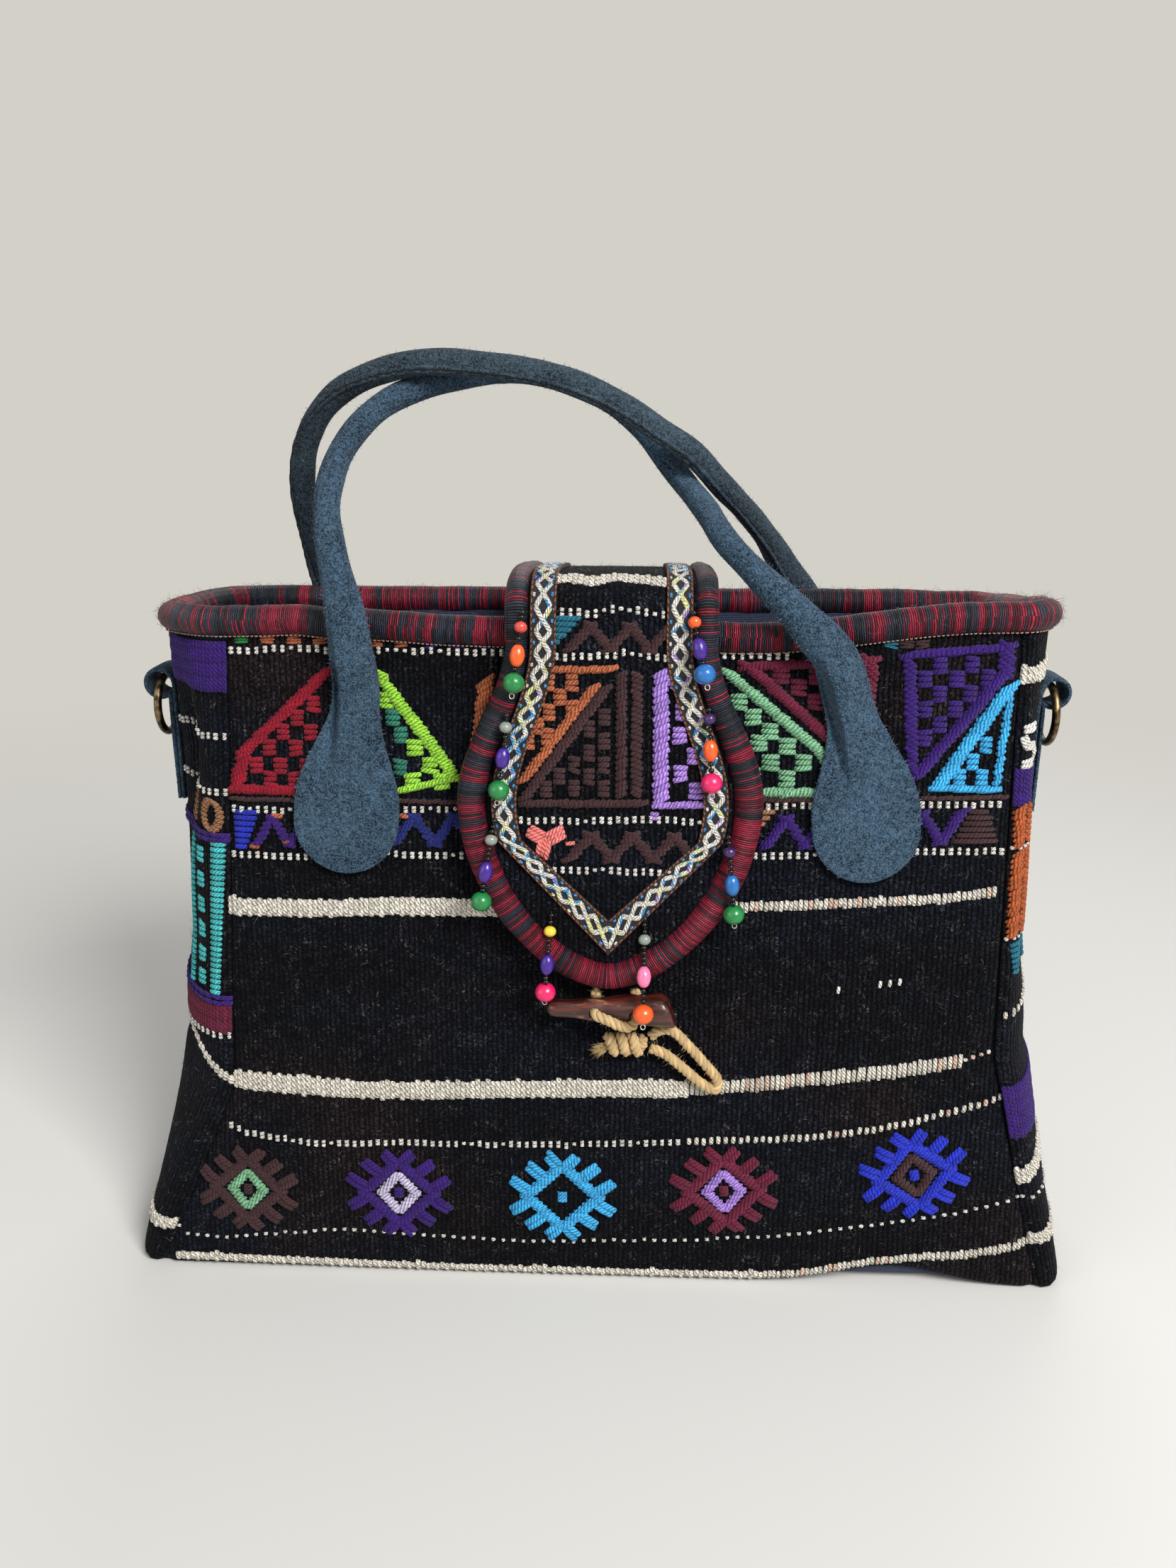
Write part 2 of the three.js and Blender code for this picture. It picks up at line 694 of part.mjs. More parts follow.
branch.translate(toggleStart, toggleY, toggleZ);

// Each hole runs from under the flap's point, slanting down through the toggle to its front
const drill = (x) => {
  const hole = new THREE.CylinderGeometry(toggleHole / 2, toggleHole / 2, 6 * toggleEnd, 10);
  hole.rotateX(holeSlant);
  return hole.translate(x, strandTop.y, strandTop.z);
};
const drilled = toggleHoles.reduce((solid, x) => solid.subtract(asSolid(drill(x))), asSolid(branch));
piece("toggle", asGeometry(drilled), "wood", { roughness: 0.45 });

// The jute goes down through one hole, across the front and back up through the other
const jutePath = (x, distance) => strandTop.clone().addScaledVector(holeWay, distance).setX(x);
const holeLength = (x) => 2 * toggleHalf(x) + jute / 2;
const stitchStart = jutePath(toggleHoles[0], holeLength(toggleHoles[0]));
const stitchEnd = jutePath(toggleHoles[1], holeLength(toggleHoles[1]));
const stitchOut = holeWay.clone().multiplyScalar(jute / 2 + 2 * clearance);
const toggleRoute = [
  jutePath(toggleHoles[0], 0),
  jutePath(toggleHoles[0], jute * 0.6),
  jutePath(toggleHoles[0], holeLength(toggleHoles[0]) - jute * 0.5),
  stitchStart.clone().add(stitchOut).setX(toggleHoles[0] + jute * 0.45),
  stitchStart.clone().lerp(stitchEnd, 0.5).add(stitchOut),
  stitchEnd.clone().add(stitchOut).setX(toggleHoles[1] - jute * 0.45),
  jutePath(toggleHoles[1], holeLength(toggleHoles[1]) - jute * 0.5),
  jutePath(toggleHoles[1], jute * 0.6),
  jutePath(toggleHoles[1], 0),
];

// A round cord along points, with domed ends that reach half a diameter past its end points.
function cordAlong(points, diameter, steps, domed) {
  const curve = new THREE.CatmullRomCurve3(points);
  const frames = curve.computeFrenetFrames(steps, false);
  const ring = (i, radius, shift) => {
    const middle = curve.getPointAt(i / steps).addScaledVector(frames.tangents[i], shift);
    return oval(middle, cordSides, frames.normals[i], radius, frames.binormals[i], radius);
  };
  const rings = Array.from({ length: steps + 1 }, (_, i) => ring(i, diameter / 2, 0));
  if (domed) {
    const dome = [[0.9, 0.4], [0.4, 0.9]];
    for (const [radius, shift] of dome) {
      rings.unshift(ring(0, (radius * diameter) / 2, (-shift * diameter) / 2));
      rings.push(ring(steps, (radius * diameter) / 2, (shift * diameter) / 2));
    }
  }
  return loft(rings);
}

piece("toggle_cord", cordAlong(toggleRoute, jute, 22, true), "jute");

// Closing loop

// The knot is three turns of jute, pressed flat against the front
const [knotX, knotZ] = knotAt;
const knotTurns = 3;
const knotProfile = [new THREE.Vector2(0, 0)];
for (let k = 0; k < knotTurns * 2 + 1; k++) {
  const bulge = k % 2 === 1 ? 0.5 : k === 0 || k === knotTurns * 2 ? 0.3 : 0.42;
  knotProfile.push(new THREE.Vector2(bulge * knotHeight, (knotLength * k) / (knotTurns * 2)));
}
knotProfile.push(new THREE.Vector2(0, knotLength));
const knot = new THREE.LatheGeometry(knotProfile, 10).rotateZ(-Math.PI / 2);
knot.translate(-knotLength / 2, 0, 0).scale(1, knotThickness / knotHeight, 1);
const knotY = -bodyDepth(knotX, knotZ) - clearance - knotThickness / 2;
piece("closing_knot", knot.translate(knotX, knotY, knotZ), "jute");

// The loop leaves the knot's right end, hangs to the lower right and comes back to it
const loopRoute = [
  [knotX + knotLength / 2 + 2 * clearance, -2.2], [29, -4.6], [37, -11], [44.5, -17.5], [50.5, -20.5],
  [51.5, -16.5], [46, -9], [39, -1], [32, 5.6], [26.8, 5.6], [knotX + knotLength / 2 + 2 * clearance, 2.6],
].map(([x, drop]) => {
  const z = knotZ + drop;
  return new THREE.Vector3(x, -bodyDepth(x, z) - 2 * clearance - jute / 2, z);
});
piece("closing_loop", cordAlong(loopRoute, jute, 22, false), "jute");

// Bead pendants

// A bead turned round its bore, which runs along Y.
function bead([diameter, height]) {
  const bore = beadBore / 2;
  const shoulder = 0.36 * diameter;
  const shape = [[bore, -0.5], [shoulder, -0.42], [diameter / 2, 0], [shoulder, 0.42], [bore, 0.5]];
  const profile = shape.map(([radius, share]) => new THREE.Vector2(radius, share * height));
  return new THREE.LatheGeometry([...profile, profile[0]], 8);
}

// The thread from its top through the bores to a knot below the last bead, with black seed beads in
// the gaps between. Each stretch is a start, an end and whether seed beads are strung on it.
function strand(stretches) {
  const stations = [];
  for (const [start, end, seeded] of stretches) {
    const length = start.distanceTo(end);
    const count = seeded ? Math.floor((length - 2 * clearance) / (seedBead * 0.8)) : 0;
    stations.push([start, thread]);
    for (let k = 0; k < count; k++) {
      const seedAt = (share) => start.clone().lerp(end, mix(clearance, length - clearance, share) / length);
      stations.push([seedAt((k + 0.5) / count), seedBead]);
      if (k < count - 1) {
        stations.push([seedAt((k + 1) / count), thread]);
      }
    }
  }
  const [lastStart, lastEnd] = stretches.at(-1);
  const down = lastEnd.clone().sub(lastStart).normalize();
  stations.push([lastEnd, thread]);
  stations.push([lastEnd.clone().addScaledVector(down, thread), 2 * thread]);
  stations.push([lastEnd.clone().addScaledVector(down, 2 * thread), thread]);
  const rings = stations.map(([middle, diameter], i) => {
    const before = stations[Math.max(0, i - 1)][0];
    const after = stations[Math.min(stations.length - 1, i + 1)][0];
    const way = after.clone().sub(before).normalize();
    const through = new THREE.Vector3(1, 0, 0).cross(way).normalize();
    const across = new THREE.Vector3().crossVectors(way, through);
    return oval(middle, threadSides, across, diameter / 2, through, diameter / 2);
  });
  return loft(rings);
}

// How far a place on the flap lies from the middle of its edge cord.
function fromCord(across, upward) {
  const place = new THREE.Vector3(across, upward, 0);
  const nearest = new THREE.Vector3();
  const distances = cordRoute.slice(1).map((end, i) => {
    const stretch = new THREE.Line3(new THREE.Vector3(...cordRoute[i], 0), new THREE.Vector3(...end, 0));
    return stretch.closestPointToPoint(place, true, nearest).distanceTo(place);
  });
  return Math.min(...distances);
}

// How far out from the flap's middle surface a round piece has to be to lie on the cord, and on the
// trim or on the bare cloth below it.
function restingHeight(across, upward, radius) {
  const reach = flapCord / 2 + radius + clearance;
  const overCord = Math.sqrt(Math.max(0, reach ** 2 - fromCord(across, upward) ** 2));
  const veeEdge = trimTipUp + Math.abs(across) * Math.tan(trimSlope) - radius / Math.cos(trimSlope);
  const under = upward > veeEdge ? trimBottom + trimThickness : cloth / 2;
  return Math.max(under + clearance + radius, overCord);
}

for (const { name, from, to, step, colours: beadColours } of pendants) {
  const flatLength = Math.hypot(to[0] - from[0], to[1] - from[1]);
  const rest = (share, diameter) => {
    const place = [mix(from[0], to[0], share), mix(from[1], to[1], share)];
    const raised = place[1] < -flapCord / 2 ? overToggle : 0;
    return flapPoint(...place, restingHeight(...place, diameter / 2) + raised);
  };
  const sizes = [smallBead, ovalBead, roundBead];
  const middles = sizes.map(([diameter], i) => rest(1 - ((2 - i) * step) / flatLength, diameter));
  let above = rest(0, thread);
  const stretches = [];
  middles.forEach((middle, i) => {
    const way = (middles[i + 1] ?? middle).clone().sub(middles[i - 1] ?? above).normalize();
    const reach = sizes[i][1] / 2 + clearance;
    const entry = middle.clone().addScaledVector(way, -reach);
    const exit = middle.clone().addScaledVector(way, reach);
    stretches.push([above, entry, true], [entry, exit, false]);
    above = exit;
    const kind = ["small", "oval", "round"][i];
    const mesh = piece(`${name}_${kind}_bead`, bead(sizes[i]), beadColours[i], { roughness: 0.25 });
    mesh.position.copy(middle);
    mesh.quaternion.setFromUnitVectors(new THREE.Vector3(0, -1, 0), way);
  });
  piece(`${name}_thread`, strand(stretches), "thread", { roughness: 0.4 });
}

export default bag;
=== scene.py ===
# %% [markdown]
# # A blanket tote bag
# The bag is sewn from a hand-woven wool blanket: soft panels with woven stripes and raised yarn
# motifs, a wrapped cord round the mouth, a flap with a beaded edge, rolled suede handles and a
# toggle on jute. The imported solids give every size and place, and this lesson dresses them.

# %% Load the solids
import math

import bpy
import numpy as np
from mathutils import Matrix, Vector


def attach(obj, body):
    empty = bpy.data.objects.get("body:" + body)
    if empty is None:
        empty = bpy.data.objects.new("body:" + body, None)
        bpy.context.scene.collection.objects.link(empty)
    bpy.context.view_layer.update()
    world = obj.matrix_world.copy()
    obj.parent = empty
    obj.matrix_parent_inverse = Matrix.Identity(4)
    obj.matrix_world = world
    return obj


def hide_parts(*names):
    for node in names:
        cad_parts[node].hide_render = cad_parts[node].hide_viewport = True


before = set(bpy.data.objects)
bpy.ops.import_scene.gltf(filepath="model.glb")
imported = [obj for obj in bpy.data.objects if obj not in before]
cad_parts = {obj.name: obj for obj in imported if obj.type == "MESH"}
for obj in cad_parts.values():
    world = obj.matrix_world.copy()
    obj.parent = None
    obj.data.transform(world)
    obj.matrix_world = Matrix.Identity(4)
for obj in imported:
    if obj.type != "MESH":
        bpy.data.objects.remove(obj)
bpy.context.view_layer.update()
bpy.ops.object.select_all(action="DESELECT")
chance = np.random.default_rng(11)
print("solids loaded:", len(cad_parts))

# %% [markdown]
# ## Camera and lamps
# The camera stands where the photographer stood, a little above the handles and close to the bag.
# One large soft lamp from the front right, a weaker one from the left and one from behind give plain
# studio light, at which a colour looks about as it is written.

# %% Camera
PITCH, YAW, ROLL = (math.radians(angle) for angle in (17.46, -2.45, 0.11))
STAND = (0.0162, -0.5111, 0.3666)
SENSOR, FOCAL_PIXELS, FRAME_PIXELS = 36, 1700, 2212
forward = Vector((math.sin(YAW) * math.cos(PITCH), math.cos(YAW) * math.cos(PITCH), -math.sin(PITCH)))
level = Vector((math.cos(YAW), -math.sin(YAW), 0))
upright = level.cross(forward)
rightward = level * math.cos(ROLL) + upright * math.sin(ROLL)
upward = upright * math.cos(ROLL) - level * math.sin(ROLL)
bpy.ops.object.camera_add()
camera = bpy.context.object
turned = Matrix((rightward, upward, -forward)).transposed().to_4x4()
camera.matrix_world = Matrix.Translation(STAND) @ turned
camera.data.sensor_width = SENSOR
camera.data.lens = SENSOR * FOCAL_PIXELS / FRAME_PIXELS
camera.data.clip_start = 0.01
bpy.context.scene.camera = camera
bpy.context.scene.view_settings.view_transform = "Standard"


# %% Lamps
def lamp(name, place, aim, size, power):
    """A square soft lamp that shines from a place towards a point."""
    bpy.ops.object.light_add(type="AREA", location=place)
    light = bpy.context.object
    light.name = name
    light.data.size = size
    light.data.energy = power
    light.rotation_euler = (Vector(aim) - Vector(place)).to_track_quat("-Z", "Y").to_euler()


lamp("window_lamp", (0.85, -1.15, 1.35), (0, 0, 0.15), size=0.7, power=42)
lamp("fill_lamp", (-1.4, -1.1, 0.9), (0, 0, 0.15), size=1.2, power=7)
lamp("back_lamp", (0.2, 1.5, 1.4), (0, 0, 0.25), size=1.2, power=12)

# %% [markdown]
# ## Shader maths
# A finish is a small graph of nodes. Written as Python expressions, the graph reads as the recipe
# that it is: a Wire stands for a value that changes over the surface, and Recipe.node adds any node.


# %% Wires
class Wire:
    """A value on its way through a recipe, with the operators that the recipes use."""

    def __init__(self, recipe, socket):
        self.recipe = recipe
        self.socket = socket

    def maths(self, operation, *others):
        values = dict(enumerate((self, *others)))
        return self.recipe.node("ShaderNodeMath", {"operation": operation}, values)

    def other(self, output):
        return Wire(self.recipe, self.socket.node.outputs[output])

    def __add__(self, value):
        return self.maths("ADD", value)

    def __sub__(self, value):
        return self.maths("SUBTRACT", value)

    def __rsub__(self, value):
        return self * -1 + value

    def __mul__(self, value):
        return self.maths("MULTIPLY", value)

    def __truediv__(self, value):
        return self.maths("DIVIDE", value)

    def __lt__(self, value):
        return self.maths("LESS_THAN", value)

    __radd__ = __add__
    __rmul__ = __mul__

    def fract(self):
        return self.maths("FRACT")

    def floor(self):
        return self.maths("FLOOR")

    def hump(self):
        """One rounded hump for each whole number."""
        return (self.fract() * math.pi).maths("SINE")

    def step(self, low, high):
        """A soft step from 0 at low to 1 at high."""
        limits = {"Value": self, "From Min": low, "From Max": high}
        return self.recipe.node("ShaderNodeMapRange", {"interpolation_type": "SMOOTHSTEP"}, limits)

    def ridge(self, width):
        """1 along the thin lines where a noise passes through its middle."""
        return 1 - (self - 0.5).maths("ABSOLUTE").step(0, width)


# %% Recipes and finishes
class Recipe:
    """A node tree that expressions fill."""

    def __init__(self, tree):
        self.tree = tree

    def node(self, kind, settings=None, values=None, output=0):
        node = self.tree.nodes.new(kind)
        for name, value in (settings or {}).items():
            setattr(node, name, value)
        for socket, value in (values or {}).items():
            self.join(value, node.inputs[socket])
        return Wire(self, node.outputs[output])

    def join(self, value, socket):
        if isinstance(value, Wire):
            self.tree.links.new(value.socket, socket)
        else:
            socket.default_value = value

    def seen(self):
        """1 for rays that show the backdrop: the camera's own, and those by way of metal or glass."""
        path = self.node("ShaderNodeLightPath")
        rays = path + path.other("Is Glossy Ray") + path.other("Is Transmission Ray")
        return rays.maths("MINIMUM", 1)


class Finish(Recipe):
    """A procedural material: its shader's fixed numbers, and nodes for what varies."""

    def __init__(self, name, colour, roughness, **fixed):
        self.material = bpy.data.materials.new(name)
        self.material.use_nodes = True
        super().__init__(self.material.node_tree)
        self.shader = self.tree.nodes["Principled BSDF"]
        self.shader.inputs["Base Color"].default_value = colour
        self.shader.inputs["Roughness"].default_value = roughness
        for socket, value in fixed.items():
            self.shader.inputs[socket.replace("_", " ")].default_value = value

    def give(self, socket, value):
        self.join(value, self.shader.inputs[socket])

    def place(self):
        return self.node("ShaderNodeTexCoord", output=3)

    def flat(self):
        """The two lengths of the piece's own UV map, in metres."""
        spot = self.node("ShaderNodeUVMap", {"uv_map": "UVMap"})
        across = self.node("ShaderNodeSeparateXYZ", values={0: spot})
        return spot, across, across.other(1)

    def noise(self, spot, scale, detail=2.0, stretch=(1, 1, 1)):
        moved = self.node("ShaderNodeMapping", values={"Vector": spot, "Scale": stretch})
        return self.node("ShaderNodeTexNoise", values={"Vector": moved, "Scale": scale, "Detail": detail})

    def speck(self, value):
        """A number from 0 to 1 that jumps at random from one whole number to the next."""
        return self.node("ShaderNodeTexWhiteNoise", {"noise_dimensions": "1D"}, {"W": value})

    def tint(self):
        return self.node("ShaderNodeAttribute", {"attribute_name": "tint"})

    def blend(self, share, first, second):
        values = {"Factor": share, 6: first, 7: second}
        return self.node("ShaderNodeMix", {"data_type": "RGBA"}, values, output=2)

    def shade(self, colour, level):
        """A colour made darker or lighter by a number."""
        return self.node("ShaderNodeVectorMath", {"operation": "SCALE"}, {0: colour, "Scale": level})

    def relief(self, height, depth, strength=1.0):
        values = {"Height": height, "Distance": depth, "Strength": strength}
        self.give("Normal", self.node("ShaderNodeBump", values=values))


def dye(code):
    """A yarn's colour, from how it looks on a screen to how much light it sends back."""
    parts = [int(code[i:i + 2], 16) / 255 for i in (1, 3, 5)]
    light = [p / 12.92 if p <= 0.04045 else ((p + 0.055) / 1.055) ** 2.4 for p in parts]
    return (*light, 1.0)


def tint_of(code):
    """A colour for the tint that a piece carries on its points."""
    return np.array(dye(code)[:3])


# %% [markdown]
# ## Floor and backdrop
# A plain pale floor catches the shadow. Far from the bag, and in the world behind it, rays from the
# camera see one plain pale colour, so that no horizon shows. Neither is part of the bag.

# %% Floor and world
PALE = dye("#d3d0c8")
bpy.ops.mesh.primitive_plane_add(size=14, location=(0, 0, -0.0006))
floor = bpy.context.object
floor.name = "floor"
paper = Finish("floor_paper", (0.66, 0.65, 0.62, 1), 0.9)
away = paper.node("ShaderNodeVectorMath", {"operation": "LENGTH"}, {0: paper.place()}, output=1)
plain = paper.node("ShaderNodeEmission", values={"Color": PALE, "Strength": 1.0})
lit = Wire(paper, paper.shader.outputs[0])
parts = {0: away.step(0.35, 1.3) * paper.seen(), 1: lit, 2: plain}
surface = paper.tree.nodes["Material Output"].inputs["Surface"]
paper.join(paper.node("ShaderNodeMixShader", values=parts), surface)
floor.data.materials.append(paper.material)
world = bpy.context.scene.world or bpy.data.worlds.new("studio")
bpy.context.scene.world = world
world.use_nodes = True
sky = Recipe(world.node_tree)
light = sky.node("ShaderNodeBackground", values={"Color": (0.86, 0.86, 0.85, 1), "Strength": 0.34})
plain = sky.node("ShaderNodeBackground", values={"Color": PALE, "Strength": 1.0})
parts = {0: sky.seen(), 1: light, 2: plain}
surface = sky.tree.nodes["World Output"].inputs["Surface"]
sky.join(sky.node("ShaderNodeMixShader", values=parts), surface)

# %% [markdown]
# ## Finishes of cloth and yarn
# The blanket is weft-faced: small upright grains of wool in columns a little over 2 mm apart, each
# column half a grain higher than the next. The UV map of a panel is its cloth laid flat in metres, so
# the grains keep their size everywhere. Wear has felted the wool, so loose fibres lie over the grains,
# and its hand-dyed black drifts in wide bands.


# %% Wool and stitch yarn
def wool_cloth():
    wool = Finish("wool_cloth", dye("#101016"), 0.95, Sheen_Weight=0.02, Specular_IOR_Level=0.06)
    spot, across, up = wool.flat()
    drift = wool.noise(spot, 160, 3) - 0.5
    wide, tall = 0.00215, 0.0025
    column = across / wide + drift * 0.9
    row = up / tall + column.floor() * 0.5 + drift * 1.9
    grain = column.hump() * (row.hump() * 0.45 + 0.55)
    own = wool.speck(column.floor() * 17.3 + row.floor() * 5.7)
    felt = wool.noise(spot, 950, 4)
    band = wool.noise(spot, 16, 3, (0.2, 1, 1))
    warm = wool.noise(spot, 9, 2)
    ground = wool.blend(band.step(0.4, 0.62), dye("#0d0e13"), dye("#12151f"))
    ground = wool.blend(warm.step(0.5, 0.68), ground, dye("#1f1719"))
    lint = wool.noise(spot, 420, 2).ridge(0.02) * wool.noise(spot, 130, 2).step(0.5, 0.68) * 0.3
    ground = wool.blend(lint, ground, dye("#8b8886"))
    # The dips between the grains are painted darker as shade; own and felt are the wool's own tone.
    tone_and_grain_shade = (own * 0.9 + 0.5) * (grain * 1.2 + 0.12) * (felt.step(0.34, 0.7) * 1.7 + 0.2)
    wool.give("Base Color", wool.shade(ground, tone_and_grain_shade))
    wool.relief(grain * 0.8 + felt * 0.9, 0.0009, 1.0)
    return wool.material


def stitch_yarn():
    yarn = Finish("stitch_yarn", dye("#888888"), 0.9, Sheen_Weight=0.06, Specular_IOR_Level=0.2)
    spot, along, girth = yarn.flat()
    twist = (along / 0.0017 + girth / 0.0024).hump()
    fibre = yarn.noise(spot, 1800, 3, (0.35, 1, 1))
    # The grooves between the plies of the twist are painted darker as shade; the fibre noise is the yarn's
    # own tone.
    yarn.give("Base Color", yarn.shade(yarn.tint(), twist * 0.5 + fibre.step(0.25, 0.75) * 0.6 + 0.28))
    yarn.relief(twist * 0.8 + fibre * 0.9, 0.0008, 1.0)
    return yarn.material


# %% Wrapping yarn
def wrapping_yarn():
    wrap = Finish("wrapping_yarn", dye("#5b1a2b"), 0.52, Specular_IOR_Level=0.4)
    spot, along, girth = wrap.flat()
    lean = wrap.noise(spot, 45, 2, (1, 0.4, 1)) * 0.0022
    strand = 0.00085
    turn = along / strand + girth * 22 + lean / strand
    own = wrap.speck(turn.floor())
    cluster = wrap.noise(spot, 95, 2, (1, 0.06, 1))
    share = wrap.node("ShaderNodeSeparateXYZ", values={0: wrap.tint()})
    red = wrap.blend(wrap.speck(turn.floor() + 400), dye("#3f0716"), dye("#a61d3d"))
    dark = wrap.blend(wrap.speck(turn.floor() + 900), dye("#0d0f17"), dye("#2c3344"))
    colour = wrap.blend(own * 0.55 + (cluster - 0.5) * 1.7 + 0.2 < share, dark, red)
    fibre = wrap.noise(spot, 1700, 3, (1, 0.2, 1))
    # The gaps between the turns of yarn are painted darker as shade; the red and dark speck mix is the
    # yarn's own colour.
    wrap.give("Base Color", wrap.shade(colour, turn.hump() * 0.8 + fibre.step(0.3, 0.7) * 0.55 - 0.06))
    wrap.relief(turn.hump() + fibre * 0.8, 0.0007, 1.0)
    return wrap.material


WOOL, YARN, WRAP = wool_cloth(), stitch_yarn(), wrapping_yarn()


# %% Lining, tape, thread and fibres
def plain_weave(name, first, second, size, depth):
    """Thin cloth or tape of fine threads that cross, in two near colours."""
    cloth = Finish(name, dye(first), 0.85, Sheen_Weight=0.05)
    spot, across, up = cloth.flat()
    weave = (across / size).hump() * (up / size + (across / size).floor() * 0.5).hump()
    cloth.give("Base Color", cloth.blend(cloth.noise(spot, 400, 3), dye(first), dye(second)))
    cloth.relief(weave + cloth.noise(spot, 90, 2) * 0.6, depth, 0.9)
    return cloth.material


def spun(name, spacing, contrast, gloss):
    """Yarn, rope or thread in the colour of its tint, with fibres along it."""
    rope = Finish(name, dye("#a58a62"), gloss, Specular_IOR_Level=0.3)
    spot = rope.flat()[0]
    fibre = rope.noise(spot, 1 / spacing, 4, (0.14, 1, 1))
    rope.give("Base Color", rope.shade(rope.tint(), fibre * contrast + 1 - contrast * 0.5))
    rope.relief(fibre, 0.0005, 0.9)
    return rope.material


LINING = plain_weave("lining_cotton", "#1f2740", "#2f3954", 0.0009, 0.0003)
TAPE = plain_weave("braid_tape", "#0d0d11", "#1c1c23", 0.0011, 0.0003)
FIBRE = spun("loose_fibre", 0.002, 0.5, 0.9)
JUTE = spun("jute_rope", 0.0009, 1.1, 0.92)
THREAD = spun("sewing_thread", 0.0006, 0.5, 0.7)

# %% [markdown]
# ## Finishes of suede, bronze, wood and beads
# Suede has a short nap that lies in many directions, so it is mottled with small dark and pale strokes.
# The rings are cast bronze gone brown in the hollows, the toggle is a polished branch, and the beads
# are painted wood under lacquer.


# %% Suede and bronze
def suede(name, pale, dark):
    hide = Finish(name, dye(pale), 0.96, Sheen_Weight=0.05, Sheen_Roughness=0.5, Specular_IOR_Level=0.1)
    spot = hide.place()
    cloud = hide.noise(spot, 50, 4)
    nap = hide.noise(spot, 480, 3)
    stroke = hide.noise(spot, 1350, 4)
    pile = stroke.step(0.38, 0.64) * 0.52 + nap.step(0.36, 0.66) * 0.24 + cloud.step(0.3, 0.7) * 0.24
    hide.give("Base Color", hide.blend(pile, dye(dark), dye(pale)))
    hide.relief(nap * 0.8 + stroke * 0.9, 0.0012, 1.0)
    return hide.material


def bronze():
    metal = Finish("antique_bronze", dye("#6d5a42"), 0.4, Metallic=1.0)
    spot = metal.place()
    age = metal.noise(spot, 260, 4)
    metal.give("Base Color", metal.blend(age.step(0.35, 0.65), dye("#3a3026"), dye("#8f7a58")))
    metal.give("Roughness", age * 0.35 + 0.22)
    metal.relief(age + metal.noise(spot, 900, 2) * 0.5, 0.0003, 0.5)
    return metal.material


# %% Wood and lacquer
def branch_wood():
    wood = Finish("toggle_wood", dye("#3a1712"), 0.3, Coat_Weight=0.35, Coat_Roughness=0.2)
    spot = wood.place()
    grain = wood.noise(spot, 420, 5, (0.12, 1, 1))
    fleck = wood.noise(spot, 300, 5, (0.3, 1, 1))
    colour = wood.blend(grain.step(0.38, 0.66), dye("#27100d"), dye("#5a2318"))
    wood.give("Base Color", wood.blend(fleck.step(0.6, 0.7) * 0.75, colour, dye("#9a6a48")))
    wood.give("Roughness", fleck * 0.4 + 0.15)
    wood.relief(grain + fleck * 0.8, 0.0004, 0.7)
    return wood.material


def lacquer(name, colour):
    paint = Finish(name, dye(colour), 0.3, Coat_Weight=0.3, Coat_Roughness=0.12)
    spot = paint.place()
    wear = paint.noise(spot, 700, 4)
    shaded = paint.shade(dye(colour)[:3], wear * 0.5 + 0.75)
    specks = paint.noise(spot, 1500, 3).step(0.68, 0.78) * 0.3
    paint.give("Base Color", paint.blend(specks, shaded, dye("#2a2220")))
    paint.give("Roughness", wear * 0.3 + 0.15)
    paint.relief(wear, 0.0003, 0.35)
    return paint.material


FRONT_SUEDE = suede("front_suede", "#506b82", "#0a1219")
BACK_SUEDE = suede("back_suede", "#4b5d6a", "#0d1318")
BRONZE, WOOD = bronze(), branch_wood()
BEAD_COLOURS = {
    "red": "#d0463c", "orange": "#ef5a1e", "green": "#187a3c", "grey": "#858d84", "purple": "#3a1782",
    "yellow": "#e8c83c", "pink": "#df1c60", "rose": "#ef76a3", "blue": "#1b66ac", "plum": "#33194f",
}
LACQUER = {name: lacquer(f"{name}_lacquer", code) for name, code in BEAD_COLOURS.items()}
GLASS = Finish("black_glass", dye("#050506"), 0.2).material
WIRE = Finish("pale_wire", dye("#c9c1b4"), 0.35, Metallic=0.8).material
print("finishes:", len(bpy.data.materials))

# %% [markdown]
# ## Making soft pieces
# Cloth, cord and yarn have shapes that no primitive has, so these pieces are skinned in mesh code.
# A Shape gathers points in millimetres with the faces between them and turns every closed part
# outwards. A tube is skinned over rings of points, and a sheet over two layers of a grid.


# %% Shapes, grids and tubes
def unit(vectors):
    return vectors / np.maximum(np.linalg.norm(vectors, axis=-1, keepdims=True), 1e-9)


def mix(first, second, share):
    return first + (second - first) * share


def ease(value, low, high):
    share = np.clip((np.asarray(value, float) - low) / (high - low), 0, 1)
    return share * share * (3 - 2 * share)


def reach(line):
    """How far along a line each of its points is."""
    return np.concatenate([[0], np.cumsum(np.linalg.norm(np.diff(line, axis=0), axis=1))])


def grid(rows, columns, joined_rows=False, joined_columns=False):
    """The four corners of each square of a grid: point numbers, rows and columns."""
    steps = np.arange(rows - 1 + joined_rows), np.arange(columns - 1 + joined_columns)
    row, column = (span.ravel()[:, None] for span in np.meshgrid(*steps, indexing="ij"))
    row = row + np.array([0, 0, 1, 1])
    column = column + np.array([0, 1, 1, 0])
    return (row % rows) * columns + column % columns, row, column


